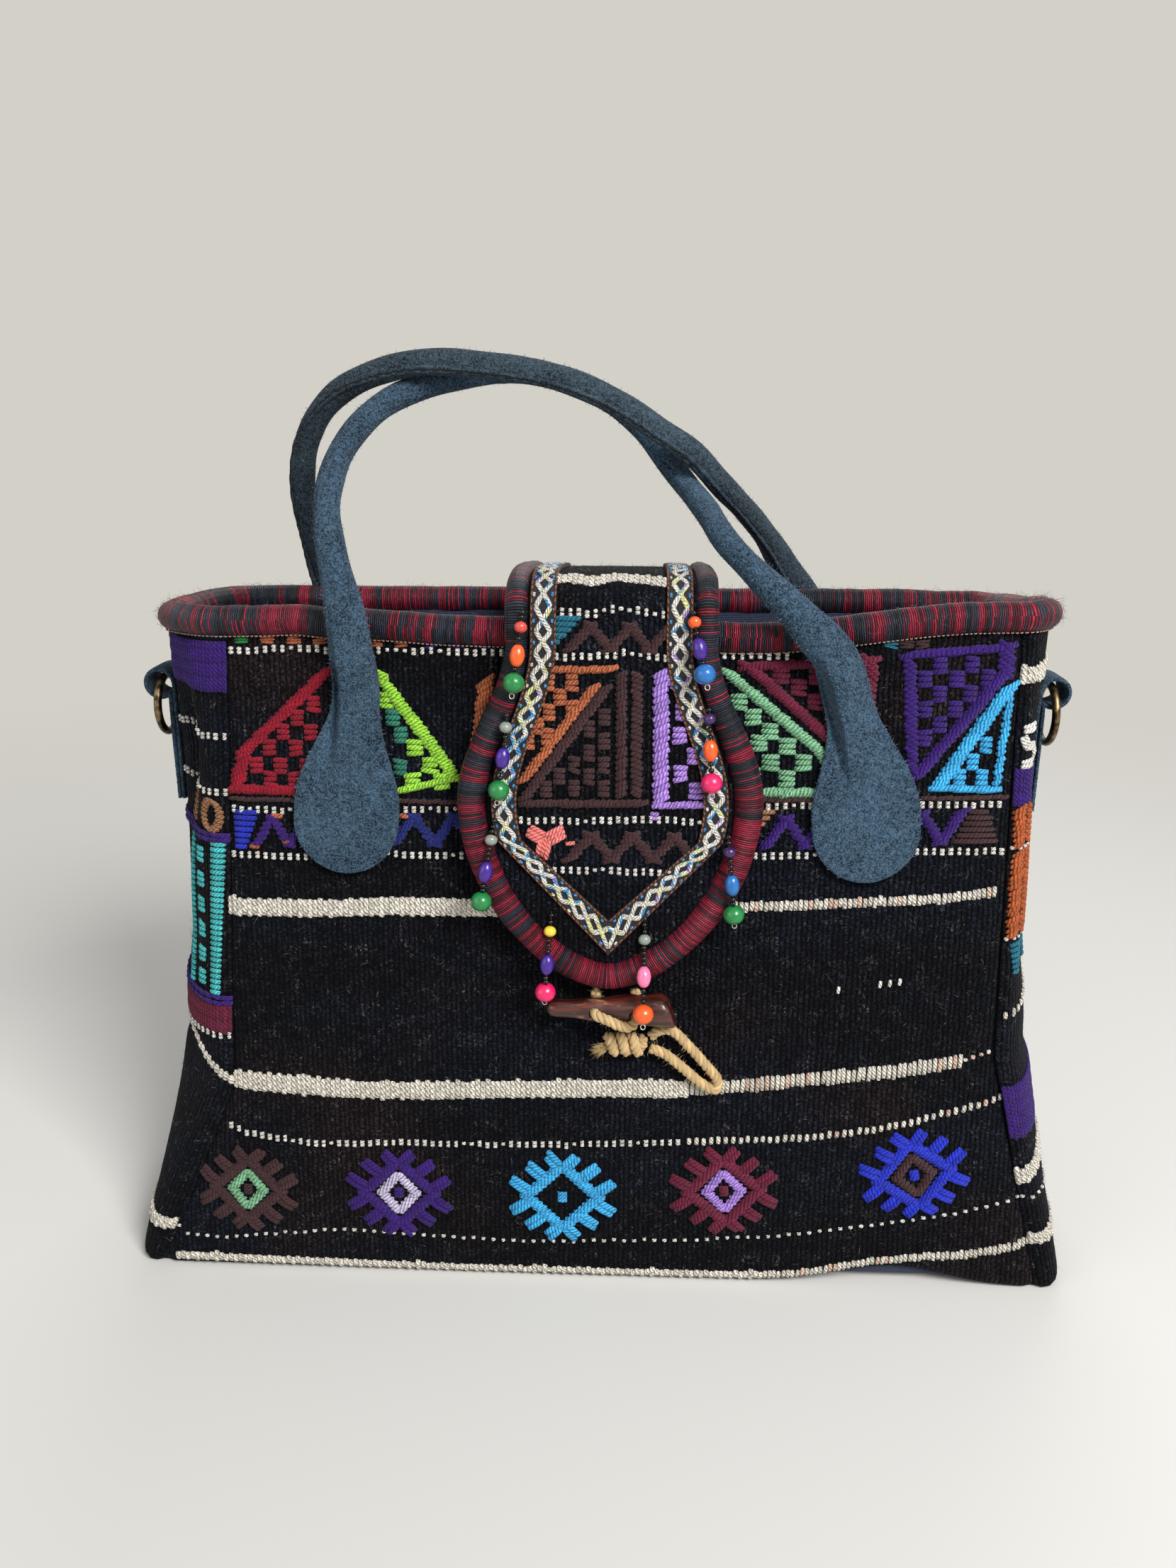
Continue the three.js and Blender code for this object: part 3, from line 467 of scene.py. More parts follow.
class Shape:
    """A mesh in the making: points in millimetres, faces, flat lengths and tints."""

    def __init__(self):
        self.points, self.tints, self.faces, self.flats, self.slots = [], [], [], [], []
        self.count = 0

    def add(self, points, parts, tint=(1, 1, 1), slot=0):
        """One closed part. Each of its parts is an array of faces and an array of their flat corners."""
        points = np.asarray(points, float).reshape(-1, 3)
        volume = 0.0
        for faces, _ in parts:
            corners = points[faces] - points[0]
            for k in range(1, faces.shape[1] - 1):
                volume += np.einsum("ij,ij->", corners[:, 0], np.cross(corners[:, k], corners[:, k + 1]))
        for faces, flat in parts:
            turn = slice(None) if volume > 0 else slice(None, None, -1)
            self.faces.append(faces[:, turn] + self.count)
            self.flats.append(np.asarray(flat, float)[:, turn] * 0.001)
            self.slots.append(np.full(len(faces), slot))
        self.points.append(points)
        self.tints.append(np.broadcast_to(np.asarray(tint, float), (len(points), 3)))
        self.count += len(points)

    def make(self, name, *finishes, sharp=None):
        """The finished object, at the origin, in metres."""
        mesh = bpy.data.meshes.new(name)
        points = np.concatenate(self.points) * 0.001
        sizes = np.concatenate([np.full(len(f), f.shape[1]) for f in self.faces])
        corners = np.concatenate([f.ravel() for f in self.faces])
        mesh.vertices.add(len(points))
        mesh.vertices.foreach_set("co", points.ravel())
        mesh.loops.add(len(corners))
        mesh.loops.foreach_set("vertex_index", corners.astype(np.int32))
        mesh.polygons.add(len(sizes))
        starts = np.concatenate([[0], np.cumsum(sizes)[:-1]])
        mesh.polygons.foreach_set("loop_start", starts.astype(np.int32))
        mesh.polygons.foreach_set("material_index", np.concatenate(self.slots).astype(np.int32))
        mesh.polygons.foreach_set("use_smooth", np.ones(len(sizes), bool))
        flat = np.concatenate([f.reshape(-1, 2) for f in self.flats])
        mesh.uv_layers.new(name="UVMap").data.foreach_set("uv", flat.ravel())
        tint = np.concatenate(self.tints)
        colours = np.concatenate([tint, np.ones((len(tint), 1))], axis=1)
        mesh.attributes.new("tint", "FLOAT_COLOR", "POINT").data.foreach_set("color", colours.ravel())
        mesh.update()
        mesh.validate()
        if sharp:
            mesh.set_sharp_from_angle(angle=math.radians(sharp))
        for finish in finishes:
            mesh.materials.append(finish)
        made = bpy.data.objects.new(name, mesh)
        bpy.context.scene.collection.objects.link(made)
        print(f"{name}: {int((sizes - 2).sum())} triangles")
        return made


def tube(shape, rings, tint=(1, 1, 1), closed=False, slot=0):
    """Skins rings of points. An open tube gets a lid on each end."""
    rings = np.asarray(rings, float)
    count, sides = rings.shape[:2]
    middles = rings.mean(axis=1)
    travel = reach(middles)
    travel = np.append(travel, travel[-1] + np.linalg.norm(middles[0] - middles[-1]))
    girth = np.linalg.norm(rings[count // 2] - np.roll(rings[count // 2], 1, axis=0), axis=1).sum()
    faces, row, column = grid(count, sides, closed, True)
    parts = [(faces, np.stack([travel[row], column * girth / sides], -1))]
    points = rings.reshape(-1, 3)
    if not closed:
        points = np.concatenate([points, middles[[0, -1]]])
        for end, start, turn in ((0, 0, 1), (1, (count - 1) * sides, -1)):
            here = start + np.arange(sides)
            lid = np.stack([np.full(sides, count * sides + end), np.roll(here, -1), here][::turn], -1)
            around = np.stack([np.zeros(sides), np.arange(sides) * girth / sides], -1)
            parts.append((lid, np.repeat(around[:, None], 3, axis=1) + travel[(count - 1) * end]))
    colours = np.asarray(tint, float)
    if colours.ndim == 2:
        colours = np.repeat(colours, sides, axis=0)
        colours = colours if closed else np.concatenate([colours, np.asarray(tint)[[0, -1]]])
    shape.add(points, parts, colours, slot)


def sheet(shape, outer, inner, across, up):
    """A sheet between two layers of a grid of points, closed round its edges."""
    rows, columns = outer.shape[:2]
    faces, row, column = grid(rows, columns)
    flat = np.stack([across[row, column], up[row, column]], -1)
    total = rows * columns
    edge = np.concatenate([
        np.arange(columns - 1), np.arange(rows - 1) * columns + columns - 1,
        total - 1 - np.arange(columns - 1), (np.arange(rows - 1, 0, -1)) * columns,
    ])
    after = np.roll(edge, -1)
    border = np.stack([edge, edge + total, after + total, after], -1)
    spots = np.stack([across.ravel(), up.ravel()], -1)
    parts = [(faces, flat), (faces[:, ::-1] + total, flat[:, ::-1]), (border, spots[border % total])]
    shape.add(np.concatenate([outer.reshape(-1, 3), inner.reshape(-1, 3)]), parts)


def facing(points):
    """Which way a grid of points faces."""
    return unit(np.cross(np.gradient(points, axis=1), np.gradient(points, axis=0)))


# %% [markdown]
# ## Routes of cords
# A cord follows a smooth curve through a few points. The curve is the same one that the solids were
# drawn with, so that a cord here lies where its solid is. A frame carried along the curve without
# twisting gives each ring of a tube its two directions.


# %% Curves and rings
def curve(points, fineness=24):
    """Close points on the smooth curve through the points."""
    points = np.asarray(points, float)
    line = np.concatenate([[2 * points[0] - points[1]], points, [2 * points[-1] - points[-2]]])
    share = np.linspace(0, 1, fineness, endpoint=False)[:, None]
    pieces = []
    for before, start, end, after in zip(line, line[1:], line[2:], line[3:]):
        first, gap, last = (max(np.linalg.norm(b - a), 1e-6) ** 0.5
                            for a, b in ((before, start), (start, end), (end, after)))
        leave = ((start - before) / first - (end - before) / (first + gap) + (end - start) / gap) * gap
        arrive = ((end - start) / gap - (after - start) / (gap + last) + (after - end) / last) * gap
        bend = -3 * start + 3 * end - 2 * leave - arrive
        turn = 2 * start - 2 * end + leave + arrive
        pieces.append(start + leave * share + bend * share**2 + turn * share**3)
    return np.concatenate([*pieces, points[-1:]])


def follow(values, travelled, distances):
    """What lies at distances along a line, from values at its points."""
    return np.stack([np.interp(distances, travelled, values[:, k]) for k in range(values.shape[1])], -1)


def spaced(line, distances):
    """Points on a line at distances from its start."""
    return follow(line, reach(line), distances)


def around(sides):
    """The angles of the points of a ring."""
    return (np.arange(sides) + 0.5) * 2 * np.pi / sides


def frames(line, start=(0.0, 0.0, 1.0)):
    """Two directions across a line at each of its points, carried along without twist."""
    along = unit(np.gradient(line, axis=0))
    first = np.empty_like(line)
    side = np.cross(along[0], start)
    side = side if np.linalg.norm(side) > 1e-3 else np.cross(along[0], (1.0, 0.0, 0.0))
    for k, way in enumerate(along):
        side = unit(side - way * side.dot(way))
        first[k] = side
    return first, np.cross(along, first)


def rounds(line, radius, sides, start=(0.0, 0.0, 1.0), first=None, second=None):
    """Rings round a line. The radius is one number, or one for each ring."""
    if first is None:
        first, second = frames(line, start)
    angle = around(sides)
    radius = np.broadcast_to(np.reshape(radius, (-1, 1)), (len(line), sides))[..., None]
    sweep = first[:, None] * np.cos(angle)[:, None] + second[:, None] * np.sin(angle)[:, None]
    return line[:, None] + radius * sweep


def domed(line, radius):
    """A line with a few points added at its ends, and radii that round its ends off."""
    distance = reach(line)
    turn = np.linspace(0.12, np.pi / 2, 4)
    near = radius * (1 - np.cos(turn))
    inside = distance[(distance > near[-1] * 1.05) & (distance < distance[-1] - near[-1] * 1.05)]
    stations = np.concatenate([near, inside, distance[-1] - near[::-1]])
    sizes = np.concatenate([np.sin(turn), np.ones(len(inside)), np.sin(turn)[::-1]]) * radius
    return spaced(line, stations), sizes


def pieces_on(body, slot, made, *nodes):
    """A finished piece rides its body and stands for its solids. Its slot is not used."""
    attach(made, body)
    if nodes:
        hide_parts(*nodes)
    return made


# %% [markdown]
# ## Loose fibres and stitch lines
# Wool, suede and jute are fuzzy: fine fibres stand off them and soften every edge. A fibre is a thin
# three-sided hair that bends and tapers to a point. A running stitch is a row of short thread strokes.


# %% Fibres and stitch lines
def hairs(shape, roots, ways, lengths, thickness, tints, slot=0, curl=0.45):
    """Fine bent fibres that taper to a point."""
    count = len(roots)
    ways = unit(ways)
    bend = unit(np.cross(ways, chance.normal(size=(count, 3)))) * chance.uniform(0.1, 1, (count, 1)) * curl
    first = unit(np.cross(ways, bend))
    second = np.cross(ways, first)
    lengths = np.asarray(lengths)[:, None]
    middle = roots + (ways + bend * 0.3) * lengths * 0.5
    tip = roots + (ways + bend) * lengths
    angle = np.arange(3) * 2 * np.pi / 3
    sweep = first[:, None] * np.cos(angle)[:, None] + second[:, None] * np.sin(angle)[:, None]
    sweep = sweep * thickness / 2
    points = np.concatenate([roots[:, None] + sweep, middle[:, None] + sweep * 0.7, tip[:, None]], axis=1)
    ring = np.arange(3)
    after = (ring + 1) % 3
    quads = np.stack([ring, after, 3 + after, 3 + ring], -1)
    ends = np.concatenate([np.stack([3 + ring, 3 + after, 0 * ring + 6], -1), [[2, 1, 0]]])
    base = (np.arange(count) * 7)[:, None, None]
    parts = [((f[None] + base).reshape(-1, f.shape[1]),
              np.zeros((count * len(f), f.shape[1], 2))) for f in (quads, ends)]
    shape.add(points, parts, np.repeat(np.broadcast_to(tints, (count, 3)), 7, axis=0), slot)


def fuzz(shape, place, across, up, outward, longest, shades):
    """Fibres at places on a cloth, some lying on it and some standing off."""
    roots = place(across, up)
    right, rise = unit(place(across + 0.5, up) - roots), unit(place(across, up + 0.5) - roots)
    out = unit(np.cross(right, rise)) * outward
    count = len(roots)
    lie = right * chance.normal(0, 1, (count, 1)) + rise * chance.normal(0, 1, (count, 1))
    ways = unit(lie) + out * chance.uniform(0.05, 0.8, (count, 1))
    lengths = 0.8 + longest * chance.random(count) ** 2
    tints = np.array([tint_of(code) for code in shades])[chance.integers(0, len(shades), count)]
    hairs(shape, roots, ways, lengths, 0.11, tints * chance.uniform(0.6, 1.3, (count, 1)), curl=0.9)


def stitch_line(shape, line, out, length, gap, width, tint, slot=0):
    """A running stitch along a line: short thread strokes that rise off the surface."""
    distance = reach(line)
    for start in np.arange(gap, distance[-1] - length, length + gap):
        spots = start + length * np.array([0, 0.25, 0.5, 0.75, 1])
        middle = spaced(line, spots)
        raise_ = unit(follow(out, distance, spots))
        middle = middle + raise_ * np.array([-0.3, 0.15, 0.25, 0.15, -0.3])[:, None] * width
        tube(shape, rounds(middle, width / 2 * np.array([0.5, 1, 1, 1, 0.5]), 5), tint, slot=slot)


# %% [markdown]
# ## The woven body
# Front, back, two gussets and a base are cut from one blanket and sewn together. Each panel is a
# sheet on the outline of its solid, with what cloth does added: it hangs a little slack between the
# seams, rolls in at a seam and at the hem, and the left gusset has a crease where it folds in.


# %% Body outline
RIM, WALL_TOP, CLOTH, CLEAR = 281.0, 274.45, 3.2, 0.3
BASE_SEAM, BASE_DEPTH, RIM_DEPTH, BULGE = 192, 70, 42.6, 5
LEFT_SEAM, RIGHT_SEAM = (148, 156, 85), (164, 167, 105)
BASE_SIDE, WAIST_SIDE, RIM_SIDE, WAIST = 208, 184.5, 183.6, 150
LIFT, WALL_HALF = 7, 41


def seam_at(height, side):
    """How far a seam is from the middle: straight from the rim down to its flare, then out to the base."""
    top, waist, flare = LEFT_SEAM if side < 0 else RIGHT_SEAM
    flared = mix(BASE_SEAM, waist, height / flare)
    return np.where(height < flare, flared, mix(waist, top, (height - flare) / (RIM - flare)))


def side_reach(height):
    """How far out a gusset stands at a height."""
    drawn_in = mix(BASE_SIDE, WAIST_SIDE, height / WAIST)
    upper = mix(WAIST_SIDE, RIM_SIDE, (height - WAIST) / (RIM - WAIST))
    return np.where(height < WAIST, drawn_in, upper)


def seam_depth(height):
    return mix(BASE_DEPTH, RIM_DEPTH, height / RIM)


def body_depth(x, height):
    """How far out the front and the back stand, fullest half-way between their seams."""
    middle = (seam_at(height, 1) - seam_at(height, -1)) / 2
    half = (seam_at(height, 1) + seam_at(height, -1)) / 2
    offset = np.minimum(1, np.abs(x - middle) / half)
    return seam_depth(height) + BULGE * np.sin(np.pi * height / RIM) * (1 - offset**2)


def rim_lift(x, y):
    """The front right corner of the mouth stands a little higher."""
    return LIFT * ease(x, 60, 150) * (1 - ease(y, -WALL_HALF, WALL_HALF))


def face_depth(x, z, side):
    return body_depth(x, z * WALL_TOP / (WALL_TOP + rim_lift(x, side * WALL_HALF)))


def slack(x, z, phase):
    """How far hanging cloth falls in between its seams."""
    wave = np.sin(x / 31 + phase) * np.sin(z / 43 + phase * 2) + 0.6 * np.sin(x / 17 - z / 29 + phase * 3)
    return (0.55 * wave + 0.9) * ease(z, 0, 40) * (1 - ease(z, 235, 270))


def rolled_in(edge, z):
    """How far cloth rolls in beside a seam and at the hem."""
    return 1.7 * np.clip(1 - edge / 5, 0, 1) ** 2 + 2.4 * np.clip(1 - z / 5, 0, 1) ** 2


def hem_lift(x):
    """The front hem stands off the floor at one place."""
    return 9.0 * np.exp(-(((x - 130) / 32) ** 2))


def wall_at(side):
    """The outer face of the front (side -1) or the back (side 1), by x and height."""
    def place(x, z):
        edge = np.minimum(x + seam_at(z, -1), seam_at(z, 1) - x)
        rise = hem_lift(x) * (1 - ease(z, 0, 45)) * (side < 0)
        inward = slack(x, z, 1.3 - side) + rolled_in(edge, z)
        return np.stack([x, side * (face_depth(x, z, side) - inward), z + rise], -1)
    return place


front_at, back_at = wall_at(-1), wall_at(1)


# %% Gusset outline
def sharpen(value, power):
    return np.sign(value) * np.abs(value) ** power


def gusset_round(side, turn, height):
    """The gusset's outline at a height: a turn of 0 is at the front seam, and of pi at the back one."""
    seam, far = seam_at(height, side), side_reach(height)
    square = mix(0.5, 1, ease(height, 0, 85))
    x = side * (seam + (far - seam) * sharpen(np.sin(turn), square))
    return x, -seam_depth(height) * sharpen(np.cos(turn), square)


turns = np.linspace(0, np.pi, 61)
heights = np.linspace(0, WALL_TOP, 56)


def measured_arcs(side):
    """For each height, how far round the outline each turn is."""
    x, y = gusset_round(side, turns[None], heights[:, None])
    steps = np.hypot(np.diff(x, axis=1), np.diff(y, axis=1))
    return np.concatenate([np.zeros((len(heights), 1)), np.cumsum(steps, axis=1)], axis=1)


ARCS = {side: measured_arcs(side) for side in (-1, 1)}


def gusset_length(side, z):
    """How far it is round a gusset from seam to seam, at a height."""
    return np.interp(z, heights, ARCS[side][:, -1])


def gusset_dents(side, share, z):
    """How far in a gusset goes at its crease and in the hollows beside its tab."""
    near = np.minimum(share, 1 - share)
    fold, depth, hollow = (z - mix(88, 112, near * 2), 5.5, 9) if side < 0 else (z - 104, 1.5, 4)
    crease = depth * np.exp(-((fold / 8) ** 2)) * ease(near, 0.05, 0.3)
    beside_tab = np.exp(-(((near - 0.24) / 0.09) ** 2)) * np.exp(-(((z - 228) / 32) ** 2))
    return crease + hollow * beside_tab


def gusset_at(side):
    """The outer face of a gusset, by how far round from its front seam and by height."""
    arcs = ARCS[side]

    def place(round_, z):
        round_, z = np.broadcast_arrays(np.asarray(round_, float), np.asarray(z, float))
        shape, round_, z = round_.shape, round_.ravel(), z.ravel()
        level = np.clip(np.round(z / WALL_TOP * (len(heights) - 1)).astype(int), 0, len(heights) - 1)
        length = gusset_length(side, z)
        share = np.clip(round_ / length, 0, 1)
        turn = np.empty_like(z)
        for k in np.unique(level):
            here = level == k
            turn[here] = np.interp(share[here] * arcs[k, -1], arcs[k], turns)
        y = gusset_round(side, turn, z)[1]
        height = np.minimum(z * WALL_TOP / (WALL_TOP + rim_lift(side * 190, y)), WALL_TOP + 3)
        x, y = gusset_round(side, turn, height)
        spot = np.stack([x, y, z], -1)
        out = unit(np.stack([side * np.sin(turn) + 0 * z, -np.cos(turn) * 0.9, 0 * z], -1))
        edge = np.minimum(round_, length - round_)
        inward = slack(round_ + 40, z, 2.1 + side) * ease(edge, 2, 25)
        inward = inward + rolled_in(edge, z) + gusset_dents(side, share, z)
        return (spot - out * inward[:, None]).reshape(*shape, 3)
    return place


left_at, right_at = gusset_at(-1), gusset_at(1)


# %% Panels of the body
def layer_area(points):
    """The area of one layer of a grid of points."""
    first, second = points[1:, 1:] - points[:-1, :-1], points[1:, :-1] - points[:-1, 1:]
    return np.linalg.norm(np.cross(first, second), axis=-1).sum() / 2


def panel(name, place, across, up, node):
    """One sewn sheet of blanket on an outline, from the hem to under the rim cord."""
    outer = place(across, up)
    way = facing(outer)
    middle = outer - np.array([0, 0, 140.0])
    way = way if (way[..., :2] * middle[..., :2]).sum() > 0 else -way
    shape = Shape()
    sheet(shape, outer, outer - way * (CLOTH - 0.2), across, up)
    made = pieces_on("bag", "wool", shape.make(name, WOOL, sharp=50), node)
    area = layer_area(outer - way * CLOTH / 2) * 1e-6


rows = np.concatenate([np.linspace(0, 0.03, 4)[:-1], np.linspace(0.03, 1, 66)])[:, None]
for side, cloth, place in ((-1, "front", front_at), (1, "back", back_at)):
    share = np.linspace(0, 1, 88)[None]
    height = np.maximum(rows * (WALL_TOP + 5), 0.4) + 0 * share
    across = mix(-seam_at(height, -1), seam_at(height, 1), share)
    up = height * (1 + rim_lift(across, side * WALL_HALF) / WALL_TOP)
    panel(f"{cloth}_cloth", place, across, up, f"{cloth}_panel")
for side, cloth, place in ((-1, "left", left_at), (1, "right", right_at)):
    share = np.linspace(0, 1, 40)[None]
    height = np.maximum(rows * (WALL_TOP + 2), 0.4) + 0 * share
    across = share * gusset_length(side, height)
    up = height * (1 + rim_lift(side * 190, mix(-42, 42, share)) / WALL_TOP)
    panel(f"{cloth}_cloth", place, across, up, f"{cloth}_gusset")


# %% [markdown]
# ## Base and lining
# The base is the same blanket, sewn in flat. The lining is a loose navy cotton bag inside, of which
# the mouth shows only a little, so both are plain sheets on the body's outline.


# %% Base
def ring_ways(ring):
    """The directions along a closed ring of points."""
    return unit(np.roll(ring, -1, axis=0) - np.roll(ring, 1, axis=0))


def body_ring(height, inset, count=150):
    """The body's outline at a height, set in, as evenly spaced points."""
    left, right = -seam_at(height, -1), seam_at(height, 1)
    front = np.linspace(left, right, 60)
    x, y = gusset_round(1, turns, height)
    front = np.stack([front, -body_depth(front, height)], -1)
    side = np.stack([x, y], -1)
    x, y = gusset_round(-1, turns[::-1], height)
    ring = np.concatenate([front[:-1], side[:-1], (front * [1, -1])[::-1][:-1], np.stack([x, y], -1)[:-1]])
    ring = np.concatenate([ring, ring[:1]])
    ring = spaced(ring, np.linspace(0, reach(ring)[-1], count, endpoint=False))
    way = ring_ways(ring)
    return ring + np.stack([-way[:, 1], way[:, 0]], -1) * inset


UNDERSIDE, TOPSIDE = 0.1, 3.0
ring = body_ring(0.0, 3.6)
shares = np.array([0.004, 0.25, 0.5, 0.75, 0.9, 1])
loops = []
for share, z in [(s, UNDERSIDE) for s in shares] + [(s, TOPSIDE) for s in shares[::-1]]:
    flat = ring * share
    rise = hem_lift(flat[:, 0]) * (flat[:, 1] < 0) * share**8
    loops.append(np.column_stack([flat, z + rise]))
shape = Shape()
tube(shape, loops)
made = pieces_on("bag", "wool", shape.make("base_cloth", WOOL, sharp=50), "base_panel")
x, y = (ring * 0.001).T
area = abs((x * np.roll(y, -1) - y * np.roll(x, -1)).sum()) / 2

# %% Lining
LINING_POINTS, HALF_WIDTH = 170, 170
levels = np.concatenate([[4, 12], np.linspace(30, WALL_TOP + 3, 22)])
rings = []
for inset in (CLOTH + 0.9, CLOTH + 2.1):
    for level in levels:
        ring = body_ring(min(level, WALL_TOP), inset, LINING_POINTS)
        rise = rim_lift(ring[:, 0], ring[:, 1]) * level / WALL_TOP
        ripple = 0.5 * np.sin(np.arange(LINING_POINTS) * 0.7 + level / 30)
        ripple = ripple * ease(level, 5, 60) * (1 - ease(level, 200, 270))
        middle = ring * (1 - (ripple[:, None] + 0.5) / HALF_WIDTH)
        drawn = ease(level, 40, 80) * (1 - ease(level, 245, 272))
        middle[:, 0] = np.clip(middle[:, 0], mix(-190, inset - 163, drawn), mix(190, 174 - inset, drawn))
        rings.append(np.column_stack([middle, level + rise]))
half = len(levels)
outer, inner = rings[:half], rings[half:]
floor_out, floor_in = ([np.column_stack([r[0][:, :2] * s, r[0][:, 2]]) for s in (0.004, 0.35, 0.7, 0.94)]
                       for r in (outer, inner))
for ring in (*floor_in, inner[0]):
    ring[:, 2] += 1.2
shape = Shape()
tube(shape, [*floor_out, *outer, *inner[::-1], *floor_in[::-1]])
lining = pieces_on("bag", "lining", shape.make("lining_cloth", LINING, sharp=50), "lining")
loops = np.array(floor_out + outer)
lining_area = layer_area(np.concatenate([loops, loops[:, :1]], axis=1)) * 1e-6
print(f"lining area {lining_area:.4f} square metres")


# %% [markdown]
# ## Raised yarn
# The motifs are worked in thicker yarn that floats over the cloth, so each stitch is a small puffed
# strand that swells off the cloth and dips back in at its ends. A stitch is one closed shape with its
# own shade of the dye. The helpers lay them the way the weaver did: in rows of dots, in cream stripes
# of grains, in slanted bands along the side of a triangle, and in level blocks inside it.

# %% Yarn colours
DYE_CODES = {
    "cream": "#e2dbcd", "white": "#ebe7de", "red": "#960c27", "lime": "#9ddb42", "teal_green": "#2f806a",
    "sage": "#7fb88d", "maroon": "#6d1a37", "purple": "#371572", "cyan": "#3fb0ec", "royal": "#2232c4",
    "navy": "#1c2670", "tan": "#9a6c4c", "brown": "#43282b", "rust": "#b3623e", "lilac": "#ae86de",
    "pink": "#f4807a", "teal": "#1b6f86", "turquoise": "#4cc6c8", "orange": "#b4582a", "green": "#1b8c44",
    "black": "#191a20", "blush": "#dcbca8", "pearl": "#cfc4e2", "copper": "#b86a3c", "lemon": "#e6e6a0",
    "sky": "#4f9fdc",
}
DYES = {name: tint_of(code) for name, code in DYE_CODES.items()}


# %% Single stitches
SIDES = 6
STATIONS = np.array([0, 0.07, 0.5, 0.93, 1])
SWELL = np.array([0.0, 0.86, 1, 0.86, 0.0])
LIFTS = np.array([-0.35, 0.16, 0.36, 0.16, -0.35])


class Strands:
    """Stitches on one cloth, each from one place to another on it."""

    def __init__(self, place, outward=1):
        self.place, self.outward, self.rows = place, outward, []

    def lay(self, start, end, width, colour, height=0.7):
        shade = DYES[colour] * chance.uniform(0.8, 1.14)
        self.rows.append((*start, *end, width, width * height, *shade))

    def bundle(self, start, end, count, width, colour):
        """Strands side by side, as in one arm of a motif."""
        start, end = np.array(start, float), np.array(end, float)
        way = (end - start) / max(np.linalg.norm(end - start), 1e-6)
        aside = np.array([-way[1], way[0]]) * width * 0.76
        for k in range(count):
            shift = aside * (k - (count - 1) / 2) + way * chance.normal(0, 0.35)
            self.lay(start + shift, end + shift + chance.normal(0, 0.2, 2), width, colour)

    def mirror(self, side):
        """A second half of a gusset's pattern, counted from its back seam."""
        twin = np.array(self.rows)
        for column in (0, 2):
            twin[:, column] = gusset_length(side, twin[:, column + 1]) - twin[:, column]
        self.rows += list(twin)

    def outlines(self, rows):
        """The rings and lengths of all strands: each swells off the cloth and dips in at its ends."""
        start, end = rows[:, None, 0:2], rows[:, None, 2:4]
        flat = start + (end - start) * STATIONS[:, None]
        points = self.place(flat[..., 0], flat[..., 1])
        x, z = flat[:, 2].T
        right = self.place(x + 0.6, z) - self.place(x - 0.6, z)
        rise = self.place(x, z + 0.6) - self.place(x, z - 0.6)
        out = unit(np.cross(right, rise)) * self.outward
        chord = points[:, 4] - points[:, 0]
        aside = np.cross(out, unit(chord))
        width, height = rows[:, 4, None, None, None], rows[:, 5, None, None, None]
        lift = LIFTS[None, :, None, None] * height
        angle = np.arange(SIDES) * 2 * np.pi / SIDES
        sweep = (aside[:, None, None] * np.cos(angle)[:, None] * width / 2
                 + out[:, None, None] * np.sin(angle)[:, None] * height / 2)
        rings = points[:, :, None] + out[:, None, None] * lift + sweep * SWELL[None, :, None, None]
        return rings, np.linalg.norm(chord, axis=1)

    def make(self, name):
        """All strands as one piece, each a closed shape with its own tint."""
        rows = np.array(self.rows)
        rings, length = self.outlines(rows)
        body = rings[:, 1:4].reshape(len(rows), 3 * SIDES, 3)
        every = np.concatenate([rings[:, 0, :1], body, rings[:, 4, :1]], axis=1)
        ring = np.arange(SIDES)
        after = (ring + 1) % SIDES
        size, last = 3 * SIDES + 2, 1 + 2 * SIDES
        tips = np.concatenate([np.stack([0 * ring, 1 + after, 1 + ring], -1),
                               np.stack([0 * ring + size - 1, last + ring, last + after], -1)])
        sides = np.concatenate([np.stack([k + ring, k + after, k + SIDES + after, k + SIDES + ring], -1)
                                for k in (1, 1 + SIDES)])
        base = (np.arange(len(rows)) * size)[:, None, None]
        place = np.zeros((len(rows), size, 2))
        shares = np.repeat(STATIONS, [1, SIDES, SIDES, SIDES, 1])
        place[..., 0] = shares * length[:, None] + rows[:, :1] * 3
        place[:, 1:-1, 1] = np.tile(ring, 3) * 1.1
        shape = Shape()
        parts = [((faces[None] + base).reshape(-1, faces.shape[1]),
                  place[:, faces].reshape(-1, faces.shape[1], 2)) for faces in (tips, sides)]
        shape.add(every, parts, np.repeat(rows[:, 6:9], size, axis=0))
        return pieces_on("bag", "wool", shape.make(name, YARN))


